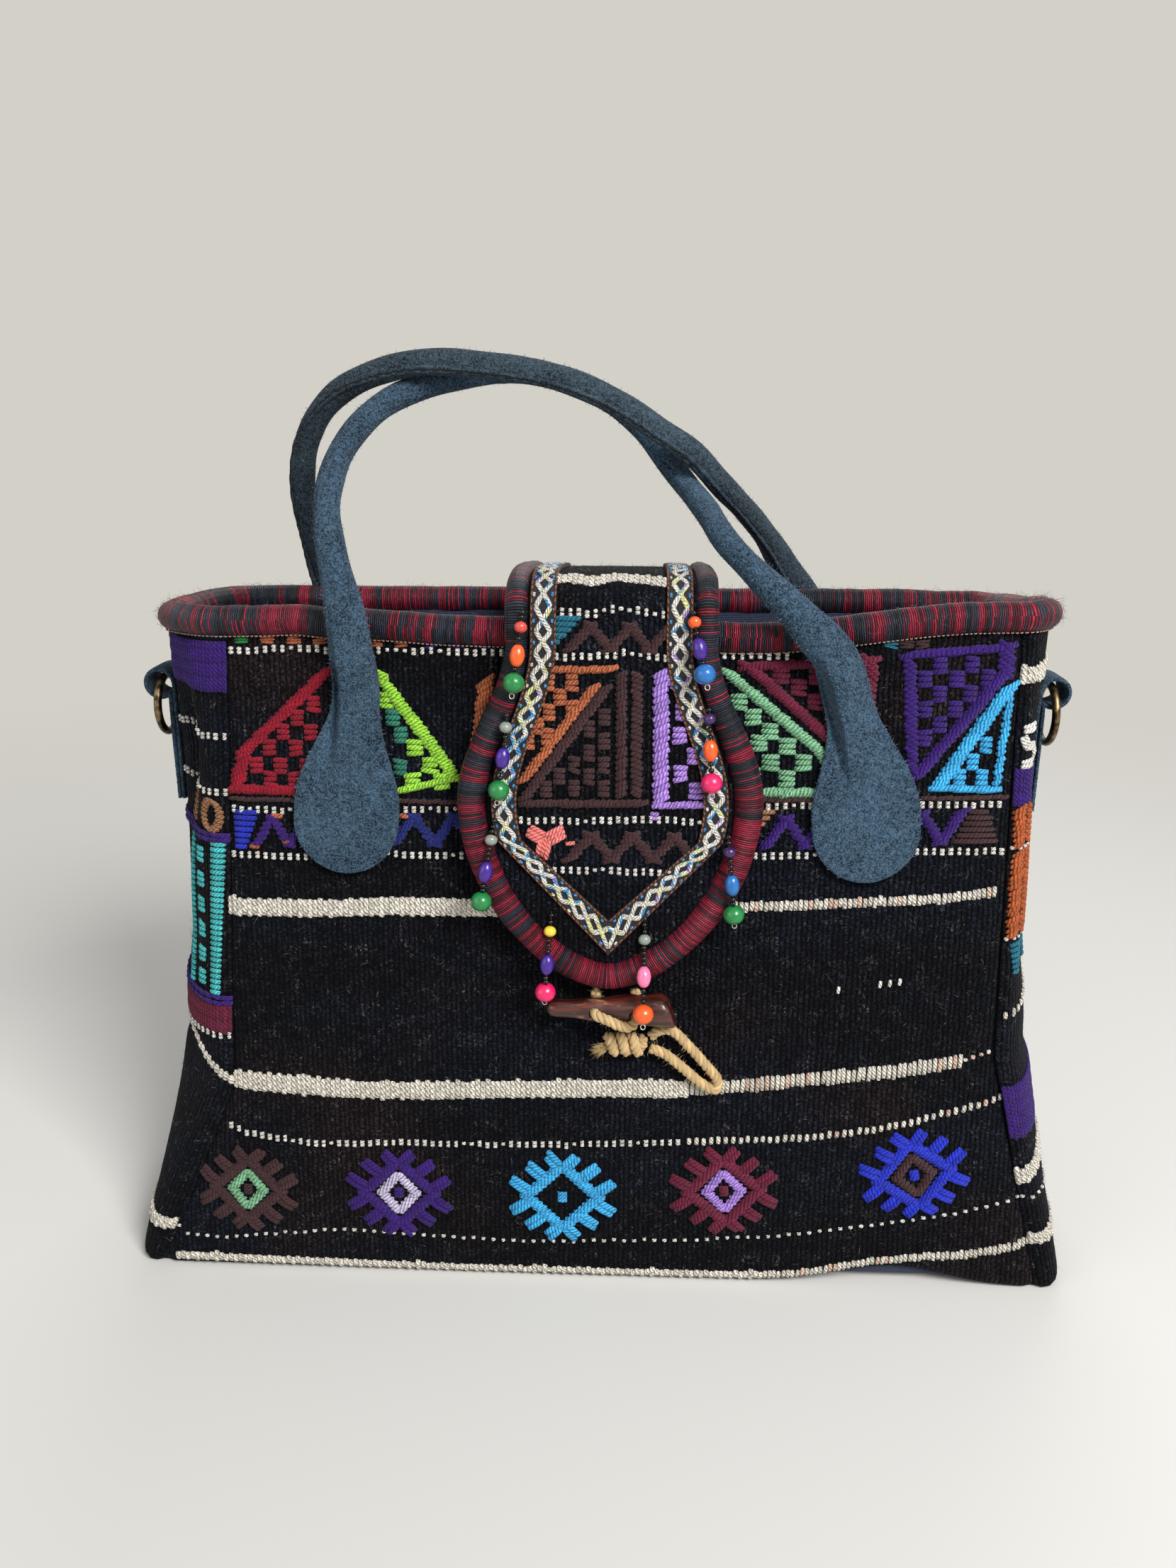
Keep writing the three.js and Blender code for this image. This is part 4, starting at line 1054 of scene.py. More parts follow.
# %% Rows and stripes of stitches
class Stripes(Strands):
    """Stitches in rows along a line."""

    def dots(self, line, colour="white", pitch=3.4, size=1.9, pair=True):
        """A row of small dots, mostly two above each other."""
        line = np.array(line, float)
        for x in np.arange(line[0, 0] + 1, line[-1, 0], pitch):
            z = np.interp(x, *line.T) + chance.normal(0, 0.2)
            wide = size * chance.uniform(0.8, 1.1) / 2
            for drop in (0.75, -0.75) if pair and chance.random() > 0.12 else (0.2,):
                end = (x + wide, z + drop + chance.normal(0, 0.15))
                self.lay((x - wide, z + drop), end, 1.6, colour, 0.9)

    def grains(self, line, tall, colour="cream", pitch=2.15):
        """A woven stripe: columns of upright grains, each half a grain off its neighbours, on a bed."""
        line = np.array(line, float)
        for k, x in enumerate(np.arange(line[0, 0] + pitch / 2, line[-1, 0], pitch)):
            z = np.interp(x, *line.T)
            half = tall / 2 + chance.normal(0, 0.2)
            self.lay((x, z - half - 0.6), (x, z + half + 0.6), 3.0, colour, 0.3)
            for low in np.arange(z - half + 1.25 * (k % 2) - 0.7, z + half - 1.4, 2.5):
                self.lay((x - 0.3, low), (x + 0.3 + chance.normal(0, 0.12), low + 3.2), 2.5, colour, 0.6)

    def comb(self, line, tall, colour="cream", pitch=2.0):
        """A stripe where the warp shows between the wefts: upright dashes."""
        line = np.array(line, float)
        for x in np.arange(line[0, 0] + pitch / 2, line[-1, 0], pitch):
            z = np.interp(x, *line.T) + chance.normal(0, 0.25)
            half = tall * chance.uniform(0.44, 0.58)
            shade = colour if chance.random() > 0.1 else "blush"
            self.lay((x, z - half), (x + chance.normal(0.2, 0.25), z + half), 2.0, shade)

    def ribs(self, corners, colour, pitch=1.7, length=5.5):
        """An upright ribbed block between two corners, low left and top right."""
        (left, low), (right, top) = corners
        for x in np.arange(left + pitch / 2, right, pitch):
            for z in np.arange(low + chance.uniform(-1, 0), top, length):
                self.lay((x, z), (x, min(z + length + 1.2, top + 0.6)), pitch * 1.25, colour, 0.5)


# %% Bands, blocks and diamonds
class Stitches(Stripes):
    """Stitches in all the motifs of the blanket."""

    def band(self, start, end, colour, length=9.4, pitch=2.3, width=2.8, slant=None):
        """Slanted strands on top of one another along a line."""
        start, end = np.array(start, float), np.array(end, float)
        way = end - start
        if slant is None:
            slope = math.atan2(way[1], way[0])
            slope = (slope + math.pi / 2) % math.pi - math.pi / 2
            slant = slope * 0.45 if abs(slope) > 0.4 else 0.3
        half = np.array([math.cos(slant), math.sin(slant)]) * length / 2
        for share in np.linspace(0, 1, max(2, int(np.linalg.norm(way) / pitch) + 1)):
            middle = start + way * share + chance.normal(0, 0.15, 2)
            own = half * chance.uniform(0.88, 1.1)
            self.lay(middle - own, middle + own, width, colour)

    def block(self, middle, colour, wide=7.6, count=3, width=2.4):
        for k in range(count):
            z = middle[1] + (k - (count - 1) / 2) * width * 0.95
            half = wide * chance.uniform(0.45, 0.54)
            tilt = chance.normal(0, 0.25)
            self.lay((middle[0] - half, z - tilt), (middle[0] + half, z + tilt), width, colour)

    def sides(self, corners, colour):
        """Slanted bands along the sides of a shape."""
        for start, end in zip(corners, corners[1:]):
            self.band(start, end, colour)

    def blocks(self, middles, colour, wide=7.6, count=3):
        for middle in middles:
            self.block(middle, colour, wide, count)

    def ladder(self, corners, colour, pitch=2.4, width=2.3):
        """Level rungs between two slanting sides: corners are top left, top right, low right, low left."""
        (a, b), (c, d), (e, f), (g, h) = corners
        for share in np.arange(0, 1, pitch / max(1.0, (b + d - f - h) / 2)):
            start = (mix(a, g, share), mix(b, h, share))
            end = (mix(c, e, share), mix(d, f, share))
            self.lay(start, end, width, colour)

    def lozenge(self, middle, colour, heart, core, turned=0.0, size=1.0):
        """A hooked diamond: a ring of slanted strands, twelve hooks and a small diamond inside."""
        cos, sin = math.cos(turned), math.sin(turned)
        spin = np.array([[cos, -sin], [sin, cos]]) * size

        def spot(x, z):
            return spin @ np.array([x, z], float) + middle
        hooks = (((0, 13), (6.8, 20)), ((6.5, 8), (15.5, 15)), ((13, 1.5), (22.8, 8)))
        for flip in (-1, 1):
            for rise in (-1, 1):
                for (ax, az), (bx, bz) in hooks:
                    self.bundle(spot(flip * ax, rise * az), spot(flip * bx, rise * bz), 2, 3.2, colour)
                for share in np.linspace(0, 1, 8):
                    x, z = flip * mix(1.6, 14.5, share), rise * mix(13.6, 1.0, share)
                    tilt = -flip * rise * 1.3
                    self.lay(spot(x - 4.3, z - tilt), spot(x + 4.3, z + tilt), 3.1, colour)
                for share in np.linspace(0, 1, 5) if heart else ():
                    x, z = flip * mix(0.6, 6.8, share), rise * mix(8.4, 0.9, share)
                    self.lay(spot(x - 3.1, z + flip * rise), spot(x + 3.1, z - flip * rise), 2.9, heart)
        for z in (-1.6, 0, 1.6):
            self.lay(spot(-2.2, z), spot(2.2, z), 2.1, core)

    def zigzag(self, line, tall, colour, pitch=8.0, length=7.0):
        """Arms of short slanted strands that go up and down along a line."""
        line = np.array(line, float)
        for k, x in enumerate(np.arange(line[0, 0], line[-1, 0] - pitch / 2, pitch)):
            low = np.interp([x, x + pitch], *line.T)
            swing = tall / 2 if k % 2 else -tall / 2
            start, end = (x, low[0] + swing), (x + pitch, low[1] - swing)
            self.band(start, end, colour, length, width=2.4, slant=0.35 - 0.7 * (k % 2))


# %% [markdown]
# ## Pattern of the front
# Rows of dots divide the front into bands: large stepped triangles under the rim, a narrow zigzag
# band, a plain black field between two cream stripes behind the flap and toggle, and hooked diamonds
# along the hem. The lines rise to the right, as the cloth does on the real bag.

# %% Front pattern: dots and stripes
front = Stitches(front_at)
front.dots([(-151, 272.6), (-126, 274), (-87, 273.6), (-42, 273.2), (50, 273), (75, 273)], pitch=3.5)
front.dots([(-150, 208.3), (-125, 208.5), (-80, 209.9), (40, 211.5), (84, 214.3), (129, 214.6),
            (161, 215.2)])
front.dots([(-151, 189.1), (-128, 188.9), (-90, 191), (40, 192.6), (87, 194.1), (128, 195.2), (164, 196.2)])
front.grains([(-154, 166.6), (-110, 167.3), (-83, 169.3), (-50, 169.6), (20, 170.5)], 6.6)
front.comb([(20, 170.5), (58, 172.2), (113, 174.5), (141, 176), (163, 179.3)], 4.4)
front.grains([(-156, 88.8), (-137, 87.8), (-104, 87.1), (-66, 87.9), (-27, 89.8), (5, 91.5), (40, 92)], 7.0)
front.comb([(40, 92), (63, 93.9), (93, 97.9), (125, 101.2), (153, 105.7)], 6.4, pitch=2.1)
front.comb([(153, 106), (165, 109.7)], 1.6, pitch=3.2)
front.dots([(-159, 68), (-152, 64.4), (-138, 62.7), (-118, 60.9), (-84, 63.1), (-53, 63.2), (39, 67.3)])
front.comb([(39, 67.3), (87, 70), (128, 76.5), (172, 89)], 3.2, pitch=3.1)
front.dots([(-190, 21), (-181, 14.9), (-165, 14.1), (-134, 17.5), (-107, 20), (-86, 18.6), (-28, 17.3),
            (44, 20)], pitch=4.4, pair=False)
front.dots([(44, 20), (68, 22), (96, 24), (124, 27), (160, 36.5), (183, 44)], pitch=4.4, pair=False)
front.grains([(-186, 4.6), (-134, 3.6), (-54, 2.6), (6, 2.8), (74, 3.2)], 2.7)
front.comb([(74, 3.2), (111, 4), (130, 5), (156, 12.6), (181, 21), (191, 25)], 4.4)
for x, z in ((100, 137), (117, 139.5), (121, 140), (125, 140.6)):
    front.lay((x, z - 1.6), (x + 0.3, z + 1.6), 1.6, "white")

# %% Front pattern: large triangles
front.sides([(-107, 266), (-143, 232.6), (-148, 216.5), (-118, 216.5)], "red")
front.blocks([(-114, 252), (-121, 246.3), (-115.6, 240.5), (-127, 240.5), (-133, 234), (-122, 234),
              (-138.6, 226.6), (-128.7, 226.6), (-118, 226.6), (-133, 221), (-123, 221)], "red", 6.2)
front.sides([(-88, 265), (-57, 223), (-80, 217.5)], "lime")
front.blocks([(-73.3, 235), (-67.3, 228), (-62.5, 221.5), (-74.5, 221.5), (-85, 254)], "lime")
front.blocks([(-82, 247), (-79, 240), (-79.5, 227)], "teal_green", 6.2)
front.band((-44, 262), (-50, 219), "rust", pitch=2.4)
front.sides([(50.4, 267), (88, 236), (96, 227)], "sage")
front.band((60, 219), (96, 219.6), "sage")
front.blocks([(55.7, 255), (61.5, 249), (68.3, 243.4), (75.4, 237.6), (82, 231.2), (69, 231),
              (75.6, 224.8), (64, 238.6), (62, 226)], "sage")
front.sides([(59, 269), (106, 271.4), (106, 229), (59, 269)], "maroon")
front.blocks([(72, 265.5), (79, 261), (86, 265.5), (86, 255.5), (93, 260.5), (93, 249)], "maroon")
front.sides([(121, 274), (158.6, 277.4), (158.6, 268), (142, 245.5), (126.5, 226)], "purple")
front.band((121.4, 271), (125, 229), "purple", length=7)
front.blocks([(133.3, 270), (145.6, 270.6), (127.7, 264.8), (140, 265), (152, 265.6), (133.7, 259),
              (145.6, 259.4), (128.6, 253), (140.2, 253.2), (134.6, 247), (129, 241.6)], "purple", 6.4)
front.sides([(161, 262), (135.6, 222.8)], "cyan")
front.band((135.6, 221.6), (157, 221), "cyan", slant=0.08)
front.band((158.6, 224), (161, 257), "cyan", length=4.2)
front.blocks([(153.3, 239), (148.6, 232.2), (143.8, 226), (152.6, 226)], "cyan", 5.6)
for start, end in (((-149, 212.4), (-52, 213.4)), ((50, 215.6), (162, 218))):
    front.band(start, end, "brown", length=5, pitch=3.2, width=2.0, slant=0.15)
UNDER_RIM = ((-142, "green"), (-131.5, "rust"), (-120.8, "rust"), (-110.5, "rust"), (-88, "rust"),
             (-78, "rust"), (-66, "purple"), (-55.4, "purple"), (-45, "purple"), (62, "white"),
             (76, "brown"), (114, "teal"), (120, "brown"), (126, "brown"))
for x, colour in UNDER_RIM:
    z = 276.6 + 0.9 * (x < -100) + 1.6 * (x > 100)
    front.block((x, z), colour, 6.0, 3, 1.2)

# %% Front pattern: narrow zigzags
front.ladder([(-150, 207), (-138, 207), (-144, 192.4), (-149.6, 192.4)], "royal")
front.zigzag([(-140, 199.5), (-112, 200)], 11, "purple", 7, 6)
front.blocks([(-127, 195.3), (-141, 193), (-131, 206)], "rust", 5, 1)
front.zigzag([(-83, 201), (-52, 202)], 11, "navy", 8.5, 7.6)
front.block((-78, 207), "rust", 6, 1)
front.ladder([(60, 211), (72, 211.4), (66, 204), (60, 204)], "tan")
front.zigzag([(68, 203), (100, 204)], 11, "purple", 8, 7.6)
front.zigzag([(122, 204.6), (146, 206)], 12, "purple", 8, 7.6)
front.ladder([(148, 212), (157, 212), (162, 199.6), (142, 199.2)], "brown")

# %% Front pattern: hooked diamonds
front.lozenge((-152, 37.6), "brown", "sage", "brown", -0.05, 0.94)
front.lozenge((-85, 38.6), "purple", "pearl", "purple", 0.0)
front.lozenge((-13.5, 39.8), "cyan", None, "cyan", 0.0)
front.lozenge((56, 44), "maroon", "lilac", "maroon", 0.08)
front.lozenge((136.6, 53.6), "royal", "brown", "royal", 0.2)
front.make("front_stitches")

# %% [markdown]
# ## Pattern of the gussets and the back
# The same stripes of the blanket go round the sides, cut at other places, and the back repeats the
# dots and cream stripes. On a gusset a place is how far round from the front seam, and how high.

# %% Gusset patterns
left = Stitches(left_at, -1)
left.ribs([(0.5, 256), (62.5, 276)], "purple")
left.ribs([(0.5, 110), (75, 122)], "maroon")
for z in (238, 215, 109):
    left.dots([(0.6, z), (48, z + 0.6)], pitch=3.5)
for turn in np.linspace(0, 2 * np.pi, 18, endpoint=False):
    x, z = 8.2 + 4.2 * math.cos(turn), 205 + 6 * math.sin(turn)
    left.lay((x - 2, z - 0.8), (x + 2, z + 0.8), 2.3, "tan")
left.ladder([(36, 212), (22, 212), (22, 199), (36, 199)], "tan")
for z, middle in ((194.6, 67), (197, 67), (123.6, 74), (126, 74)):
    left.band((2, z), (middle, z), "purple", 6, 4.6, 2.4, 0.1)
left.ladder([(9, 193), (1.4, 193), (5, 128), (10.5, 128)], "turquoise")
left.ladder([(30, 193), (24, 193), (25, 128), (31, 128)], "turquoise")
left.blocks([(16.6, z) for z in (187, 176, 165, 154, 143, 133)], "turquoise", 6, 3)
left.grains([(0, 88), (24, 105), (48, 112), (75, 112)], 2.6)
left.grains([(1, 20), (80, 21)], 4)
left.mirror(-1)
left.make("left_stitches")
right = Stitches(right_at)
right.grains([(0.6, 266.5), (52, 267.5)], 5.6)
right.ribs([(0.6, 214), (55.6, 229)], "purple")
for start, end in (((3, 245), (11, 246)), ((3, 243), (5, 238.5)), ((4, 238.5), (12, 238)),
                   ((11, 237.5), (12, 232)), ((3, 231), (12, 231.6))):
    right.bundle(start, end, 2, 2.3, "white")
for low, top in ((161, 195), (199, 213)):
    for x, slant in ((4.4, 0.5), (11.6, -0.5), (20, 0.5)):
        right.band((x, low), (x, top), "orange", 7.6, 2.2, slant=slant)
for z in (197, 159):
    right.dots([(0.6, z), (57, z)], pitch=3.5, pair=False)
right.ladder([(3, 156), (14, 156), (10, 142), (6, 142)], "teal")
right.ladder([(22, 156), (33, 156), (30, 142), (26, 142)], "teal")
right.comb([(1, 126), (66, 132)], 3.4, pitch=4.2)
right.ribs([(0.6, 71), (70, 94)], "purple")
right.grains([(0, 53), (30, 62), (71.6, 66)], 6)
right.dots([(0.6, 44), (74, 48)], pitch=4.2, pair=False)
right.grains([(0.6, 25), (76, 29)], 4.4)
right.mirror(1)
right.make("right_stitches")

# %% Back pattern
back = Stitches(back_at, -1)
for z in (272, 209, 190, 64, 20):
    back.dots([(3 - float(seam_at(z, -1)), z), (float(seam_at(z, 1)) - 3, z + 1)])
for z in (167, 90, 5):
    back.grains([(2 - float(seam_at(z, -1)), z), (float(seam_at(z, 1)) - 2, z + 1)], 6.4)
for x, colour in ((-130, "royal"), (-62, "maroon"), (8, "cyan"), (78, "purple"), (144, "sage")):
    back.lozenge((x, 41), colour, "lilac", colour, 0.0, 0.94)
back.make("back_stitches")

# %% [markdown]
# ## Wrapped cord round the mouth
# A thick cord stands on the top edge of the bag, wrapped closely with dark red and charcoal yarn. The
# wrapping is in the finish; the tube has the slow unevenness of hand work. Its tint says how much of
# the wrapping is red at each place.


# %% Rim cord
def drifting(distance, knots, seed):
    """A smooth random line from 0 to 1, with one bend for each knot."""
    values = np.random.default_rng(seed).uniform(0, 1, knots)
    return np.interp(distance / distance[-1] * (knots - 1), np.arange(knots), values)


RIM_CORD, RIM_POINTS, CORD_SIDES, RIM_HAIRS = 12.5, 860, 16, 2900
ring = body_ring(WALL_TOP, CLOTH / 2, RIM_POINTS)
rim_line = np.column_stack([ring, RIM + rim_lift(ring[:, 0], ring[:, 1])])
aside = unit(np.cross(ring_ways(rim_line), (0.0, 0.0, 1.0)))
travel = np.arange(float(RIM_POINTS))
x, on_front = rim_line[:, 0], 1 - ease(rim_line[:, 1], -WALL_HALF, 0)
sag = np.interp(x, [-170, -119, -67, 0, 57, 85, 125, 155], [3.4, 4.2, 1.4, 0, -1.2, -1.2, 0.3, 0.8])
rim_line[:, 2] += sag * on_front + (drifting(travel, 60, 2) - 0.5) * 0.8
along = ring_ways(rim_line)
radius = RIM_CORD / 2 - 0.25 + 0.45 * (drifting(travel, 150, 1) - 0.5)
red = 0.22 + 0.5 * drifting(travel, 90, 3)
red = np.where((on_front > 0.5) & (np.abs(x + 123) < 9), 0.85, red)
red = np.where((on_front > 0.5) & (x > 118), mix(red, 0.6, 0.7), red)
shape = Shape()
rings = rounds(rim_line, radius, CORD_SIDES, first=aside, second=np.cross(aside, along))
tube(shape, rings, np.column_stack([red, red, red]), closed=True)
pieces_on("bag", "wrap", shape.make("rim_wrapping", WRAP), "rim_cord")

# %% Stitches and fuzz of the rim
rim_closed, aside_closed = (np.concatenate([line, line[:1]]) for line in (rim_line, aside))
rim_reach = reach(rim_closed)


def rim_at(distance, turn, radius=RIM_CORD / 2):
    """A place on the rim cord: how far along it, and how far up round it from its outer side."""
    distance = np.asarray(distance, float) % rim_reach[-1]
    middle, side = (follow(line, rim_reach, distance) for line in (rim_closed, aside_closed))
    angle = (np.asarray(turn, float) / radius)[..., None]
    return middle + (side * np.cos(angle) + np.array([0, 0, 1.0]) * np.sin(angle)) * radius


sewing = Stitches(rim_at)
for distance in np.arange(0, rim_reach[-1], 1.75):
    for turn in (-7.0, -12.6):
        sewing.lay((distance, turn), (distance + 1.2, turn), 0.85, "blush")
sewing.make("rim_sewing")
shape = Shape()
distance, turn = chance.uniform(0, rim_reach[-1], RIM_HAIRS), chance.uniform(-5, 17, RIM_HAIRS)
fuzz(shape, rim_at, distance, turn, 1, 4.2,
     ("#6a2434", "#2a2c35", "#3c4150", "#7a6f72"))
pieces_on("bag", "wrap", shape.make("rim_fuzz", FIBRE))

# %% [markdown]
# ## The flap
# The flap is one more piece of blanket, folded from the back over the mouth and hanging down the front
# to a rounded point. A wrapped cord runs round its edge, and a woven tape with a white lattice is sewn
# on inside the cord. All three lie on one bent surface, measured across from its middle and up from
# its point.

# %% Flap surface
FLAP_CORD, FLAP_MIDDLE, SHOULDER, DROP = 12.0, 5.5, 71.0, 135.5
FLAP_WIDEST, FLAP_NECK, FOLD_RISE, FOLD_SQUARE, BEHIND = 54.5, 36.3, 15.6, 0.6, 70
tip_z = RIM - DROP
rim_middle = body_depth(FLAP_MIDDLE, WALL_TOP) - CLOTH / 2
flap_at_rim = rim_middle + RIM_CORD / 2 + 2 * CLEAR + FLAP_CORD / 2
standoff = FLAP_CORD / 2 + CLEAR
tip_depth = body_depth(FLAP_MIDDLE, tip_z) + standoff
profile = []
for k in range(5):
    z = mix(tip_z, RIM, k / 5)
    profile.append((-max(body_depth(FLAP_MIDDLE, z) + standoff, mix(tip_depth, flap_at_rim, k / 5)), z))
for turn in np.linspace(0, math.pi, 9):
    rise = FOLD_RISE * sharpen(np.sin(turn), FOLD_SQUARE) * mix(1.5, 0.94, ease(turn, 0.7, 2.2))
    profile.append((-flap_at_rim * sharpen(np.cos(turn), FOLD_SQUARE), RIM + rise))
for k in (1, 2, 3):
    z = RIM - BEHIND * k / 3
    profile.append((max(flap_at_rim, body_depth(FLAP_MIDDLE, z) + standoff), z))
flap_line = curve([(0, float(y), float(z)) for y, z in profile], 40)
flap_reach = reach(flap_line)
FLAP_LENGTH = flap_reach[-1]
flap_ways = unit(np.gradient(flap_line, axis=0))


def flap_frame(up):
    """The flap's middle line at distances up from its point, with its directions along and outwards."""
    share = np.clip(up, 0, FLAP_LENGTH)
    point, along = (follow(values, flap_reach, share) for values in (flap_line, flap_ways))
    along = unit(along)
    out = np.stack([0 * share, -along[..., 2], along[..., 1]], -1)
    return point + along * (up - share)[..., None], along, out


def flap_point(across, up, raised):
    """A place on the flap or raised off it, by how far across from its middle and up from its point."""
    across, up, raised = np.broadcast_arrays(*(np.asarray(v, float) for v in (across, up, raised)))
    point, _, out = flap_frame(up)
    return point + out * raised[..., None] + np.stack([across + FLAP_MIDDLE, 0 * up, 0 * up], -1)


def flap_half(up, inset=0.0):
    """Half the flap's width: a rounded point up to its shoulder, and from there drawn in to a neck."""
    up = np.asarray(up, float)
    widest, neck = FLAP_WIDEST - inset, FLAP_NECK - 0.68 * inset
    below = np.clip((SHOULDER - up) / (SHOULDER - inset), 0, 1)
    low = widest * (1 - below**1.8) ** 0.6
    share = np.clip((up - SHOULDER) / (DROP - SHOULDER), 0, 1)
    return np.where(up < SHOULDER, low, mix(widest, neck, (1 - np.cos(np.pi * share)) / 2))


def flap_at(across, up):
    """The outer face of the flap's cloth, a little full in its middle."""
    full = 0.7 * np.clip(1 - (np.asarray(across) / 44) ** 2, 0, 1) + 0.25 * np.sin(np.asarray(up) / 11)
    return flap_point(across, up, CLOTH / 2 + full * ease(up, 8, 30))


# %% Flap cloth
inset = 5.0
ups = SHOULDER - (SHOULDER - inset) * np.cos(np.linspace(0.16, np.pi / 2, 26))
ups = np.concatenate([ups, np.linspace(SHOULDER, FLAP_LENGTH, 76)[1:]])
up = ups[:, None] + np.zeros((1, 31))
across = flap_half(up, inset) * np.linspace(-1, 1, 31)
outer, inner = flap_at(across, up), flap_point(across, up, -CLOTH / 2)
shape = Shape()
sheet(shape, outer, inner, across + 300, up)
flap = pieces_on("bag", "wool", shape.make("flap_cloth", WOOL, sharp=50), "flap_panel")
area = layer_area((outer + inner) / 2) * 1e-6
print(f"flap: 0.099 by {FLAP_LENGTH * 0.001:.3f} m, area {area:.4f} square metres")

# %% Flap cord
ups = np.concatenate([SHOULDER - SHOULDER * np.cos(np.linspace(0, np.pi / 2, 120)),
                      np.linspace(SHOULDER, FLAP_LENGTH, 300)[1:]])
halves = flap_half(ups)
route = np.concatenate([np.stack([-halves, ups], -1)[:0:-1], np.stack([halves, ups], -1)])
route = spaced(route, np.arange(0, reach(route)[-1], 1.1))
point, along, out = flap_frame(route[:, 1])
point = point + np.column_stack([route[:, 0] + FLAP_MIDDLE, 0 * route[:, 0], 0 * route[:, 0]])
way = unit(np.gradient(route, axis=0))
sideways = np.column_stack([way[:, 1], 0 * way[:, 0], 0 * way[:, 0]]) - along * way[:, :1]
travel = reach(route)
radius = FLAP_CORD / 2 - 0.2 - 1.2 * ease(route[:, 1], 85, 135) + 0.5 * (drifting(travel, 70, 5) - 0.5)
radius[[0, -1]] = 1.0
radius[[1, -2]] = 4.6
red = mix(0.82, 0.36, ease(route[:, 1], 60, 118)) * (0.6 + 0.5 * drifting(travel, 60, 6))
shape = Shape()
rings = rounds(point, radius, CORD_SIDES, first=sideways, second=out)
tube(shape, rings, np.column_stack([red, red, red]))
pieces_on("bag", "wrap", shape.make("flap_wrapping", WRAP), "flap_cord")

# %% [markdown]
# ## Tape on the flap
# The tape is woven in black with a white lattice: two yarns that cross, with flecks of yellow, blue
# and lilac, and a fine copper thread beside each edge. It goes down both sides and meets in a straight
# V above the point.

# %% Tape
TAPE_WIDTH, VEE_TOP, TAPE_THICK = 10, 56.9, 1.1
TRIM_TOP = CLOTH / 2 + CLEAR + 1.2
outer_inset = FLAP_CORD / 2 + 0.6 + 1.2
corner = float(flap_half(VEE_TOP, outer_inset))
tip = outer_inset + 2
inner_tip = tip + TAPE_WIDTH / math.cos(math.atan2(VEE_TOP - tip, corner))
vee = np.linspace(0, 1, 24)[:-1, None]
side_ups = np.linspace(VEE_TOP, FLAP_LENGTH, 90)
side_half = flap_half(side_ups, outer_inset)
trim_outer = np.concatenate([np.array([0, tip]) + vee * [corner, VEE_TOP - tip],
                             np.stack([side_half, side_ups], -1)])
trim_inner = np.concatenate([np.array([0, inner_tip]) + vee * [corner - TAPE_WIDTH, VEE_TOP - inner_tip],
                             np.stack([side_half - TAPE_WIDTH, side_ups], -1)])
trim_reach = reach((trim_outer + trim_inner) / 2)
TAPE_LENGTH = trim_reach[-1]


def tape_at(along, inward, raised=TRIM_TOP):
    """A place on the tape: along from the point (left is negative), and inward from its outer edge."""
    along, inward = np.broadcast_arrays(np.asarray(along, float), np.asarray(inward, float))
    outer, inner = (follow(line, trim_reach, np.abs(along)) for line in (trim_outer, trim_inner))
    flat = mix(outer, inner, (inward / TAPE_WIDTH)[..., None])
    full = 0.55 * np.clip(1 - (flat[..., 0] / 44) ** 2, 0, 1)
    return flap_point(np.sign(along) * flat[..., 0], flat[..., 1], raised + full)


along = np.concatenate([-trim_reach[:0:-1], trim_reach])[:, None] + np.zeros((1, 7))
inward = np.linspace(0, TAPE_WIDTH, 7)[None] + 0 * along
outer, inner = tape_at(along, inward, TRIM_TOP), tape_at(along, inward, TRIM_TOP - TAPE_THICK)
shape = Shape()
sheet(shape, outer, inner, along + 400, inward)
tape = pieces_on("bag", "braid", shape.make("flap_tape", TAPE, sharp=50), "flap_trim")
area = layer_area((outer + inner) / 2) * 1e-6
max(2 * TAPE_LENGTH * 0.001, area / 0.0102)

# %% Lattice on the tape
CROSS, LATTICE_HALF = 8.3, 2.9
LATTICE_COLOURS = {"white": 0.5, "cream": 0.22, "lemon": 0.14, "sky": 0.1, "lilac": 0.04}
lattice = Stitches(tape_at)
for side in (-1, 1):
    for k in range(int(TAPE_LENGTH / CROSS)):
        for flip in (-1, 1):
            up = flip if k % 2 else -flip
            for part in range(3):
                shares = [(part + share) / 3 for share in (-0.15, 1.15)]
                for strand in (-0.55, 0.55):
                    colour = chance.choice(list(LATTICE_COLOURS), p=list(LATTICE_COLOURS.values()))
                    first, last = ((side * ((k + share) * CROSS + strand),
                                    TAPE_WIDTH / 2 + up * mix(-LATTICE_HALF, LATTICE_HALF, share))
                                   for share in shares)
                    lattice.lay(first, last, 1.45, colour)
        for inward in (1.5, 8.5):
            middle = (k + 0.5) * CROSS
            colour = chance.choice(["sky", "sky", "white"])
            lattice.lay((side * (middle - 1.1), inward), (side * (middle + 0.5), inward), 1.1, colour)
    for inward in (0.5, 9.5):
        for q in np.arange(1, TAPE_LENGTH - 2, 2.3):
            lattice.lay((side * q, inward), (side * (q + 1.7), inward + 0.2), 0.7, "copper")
lattice.make("tape_lattice")

# %% [markdown]
# ## Pattern of the flap
# The flap was cut from another part of the blanket: a wavy cream stripe on the fold, rows of dots, a
# brown band with a teal corner, large triangles in rust, brown and lilac, and a small pink motif.

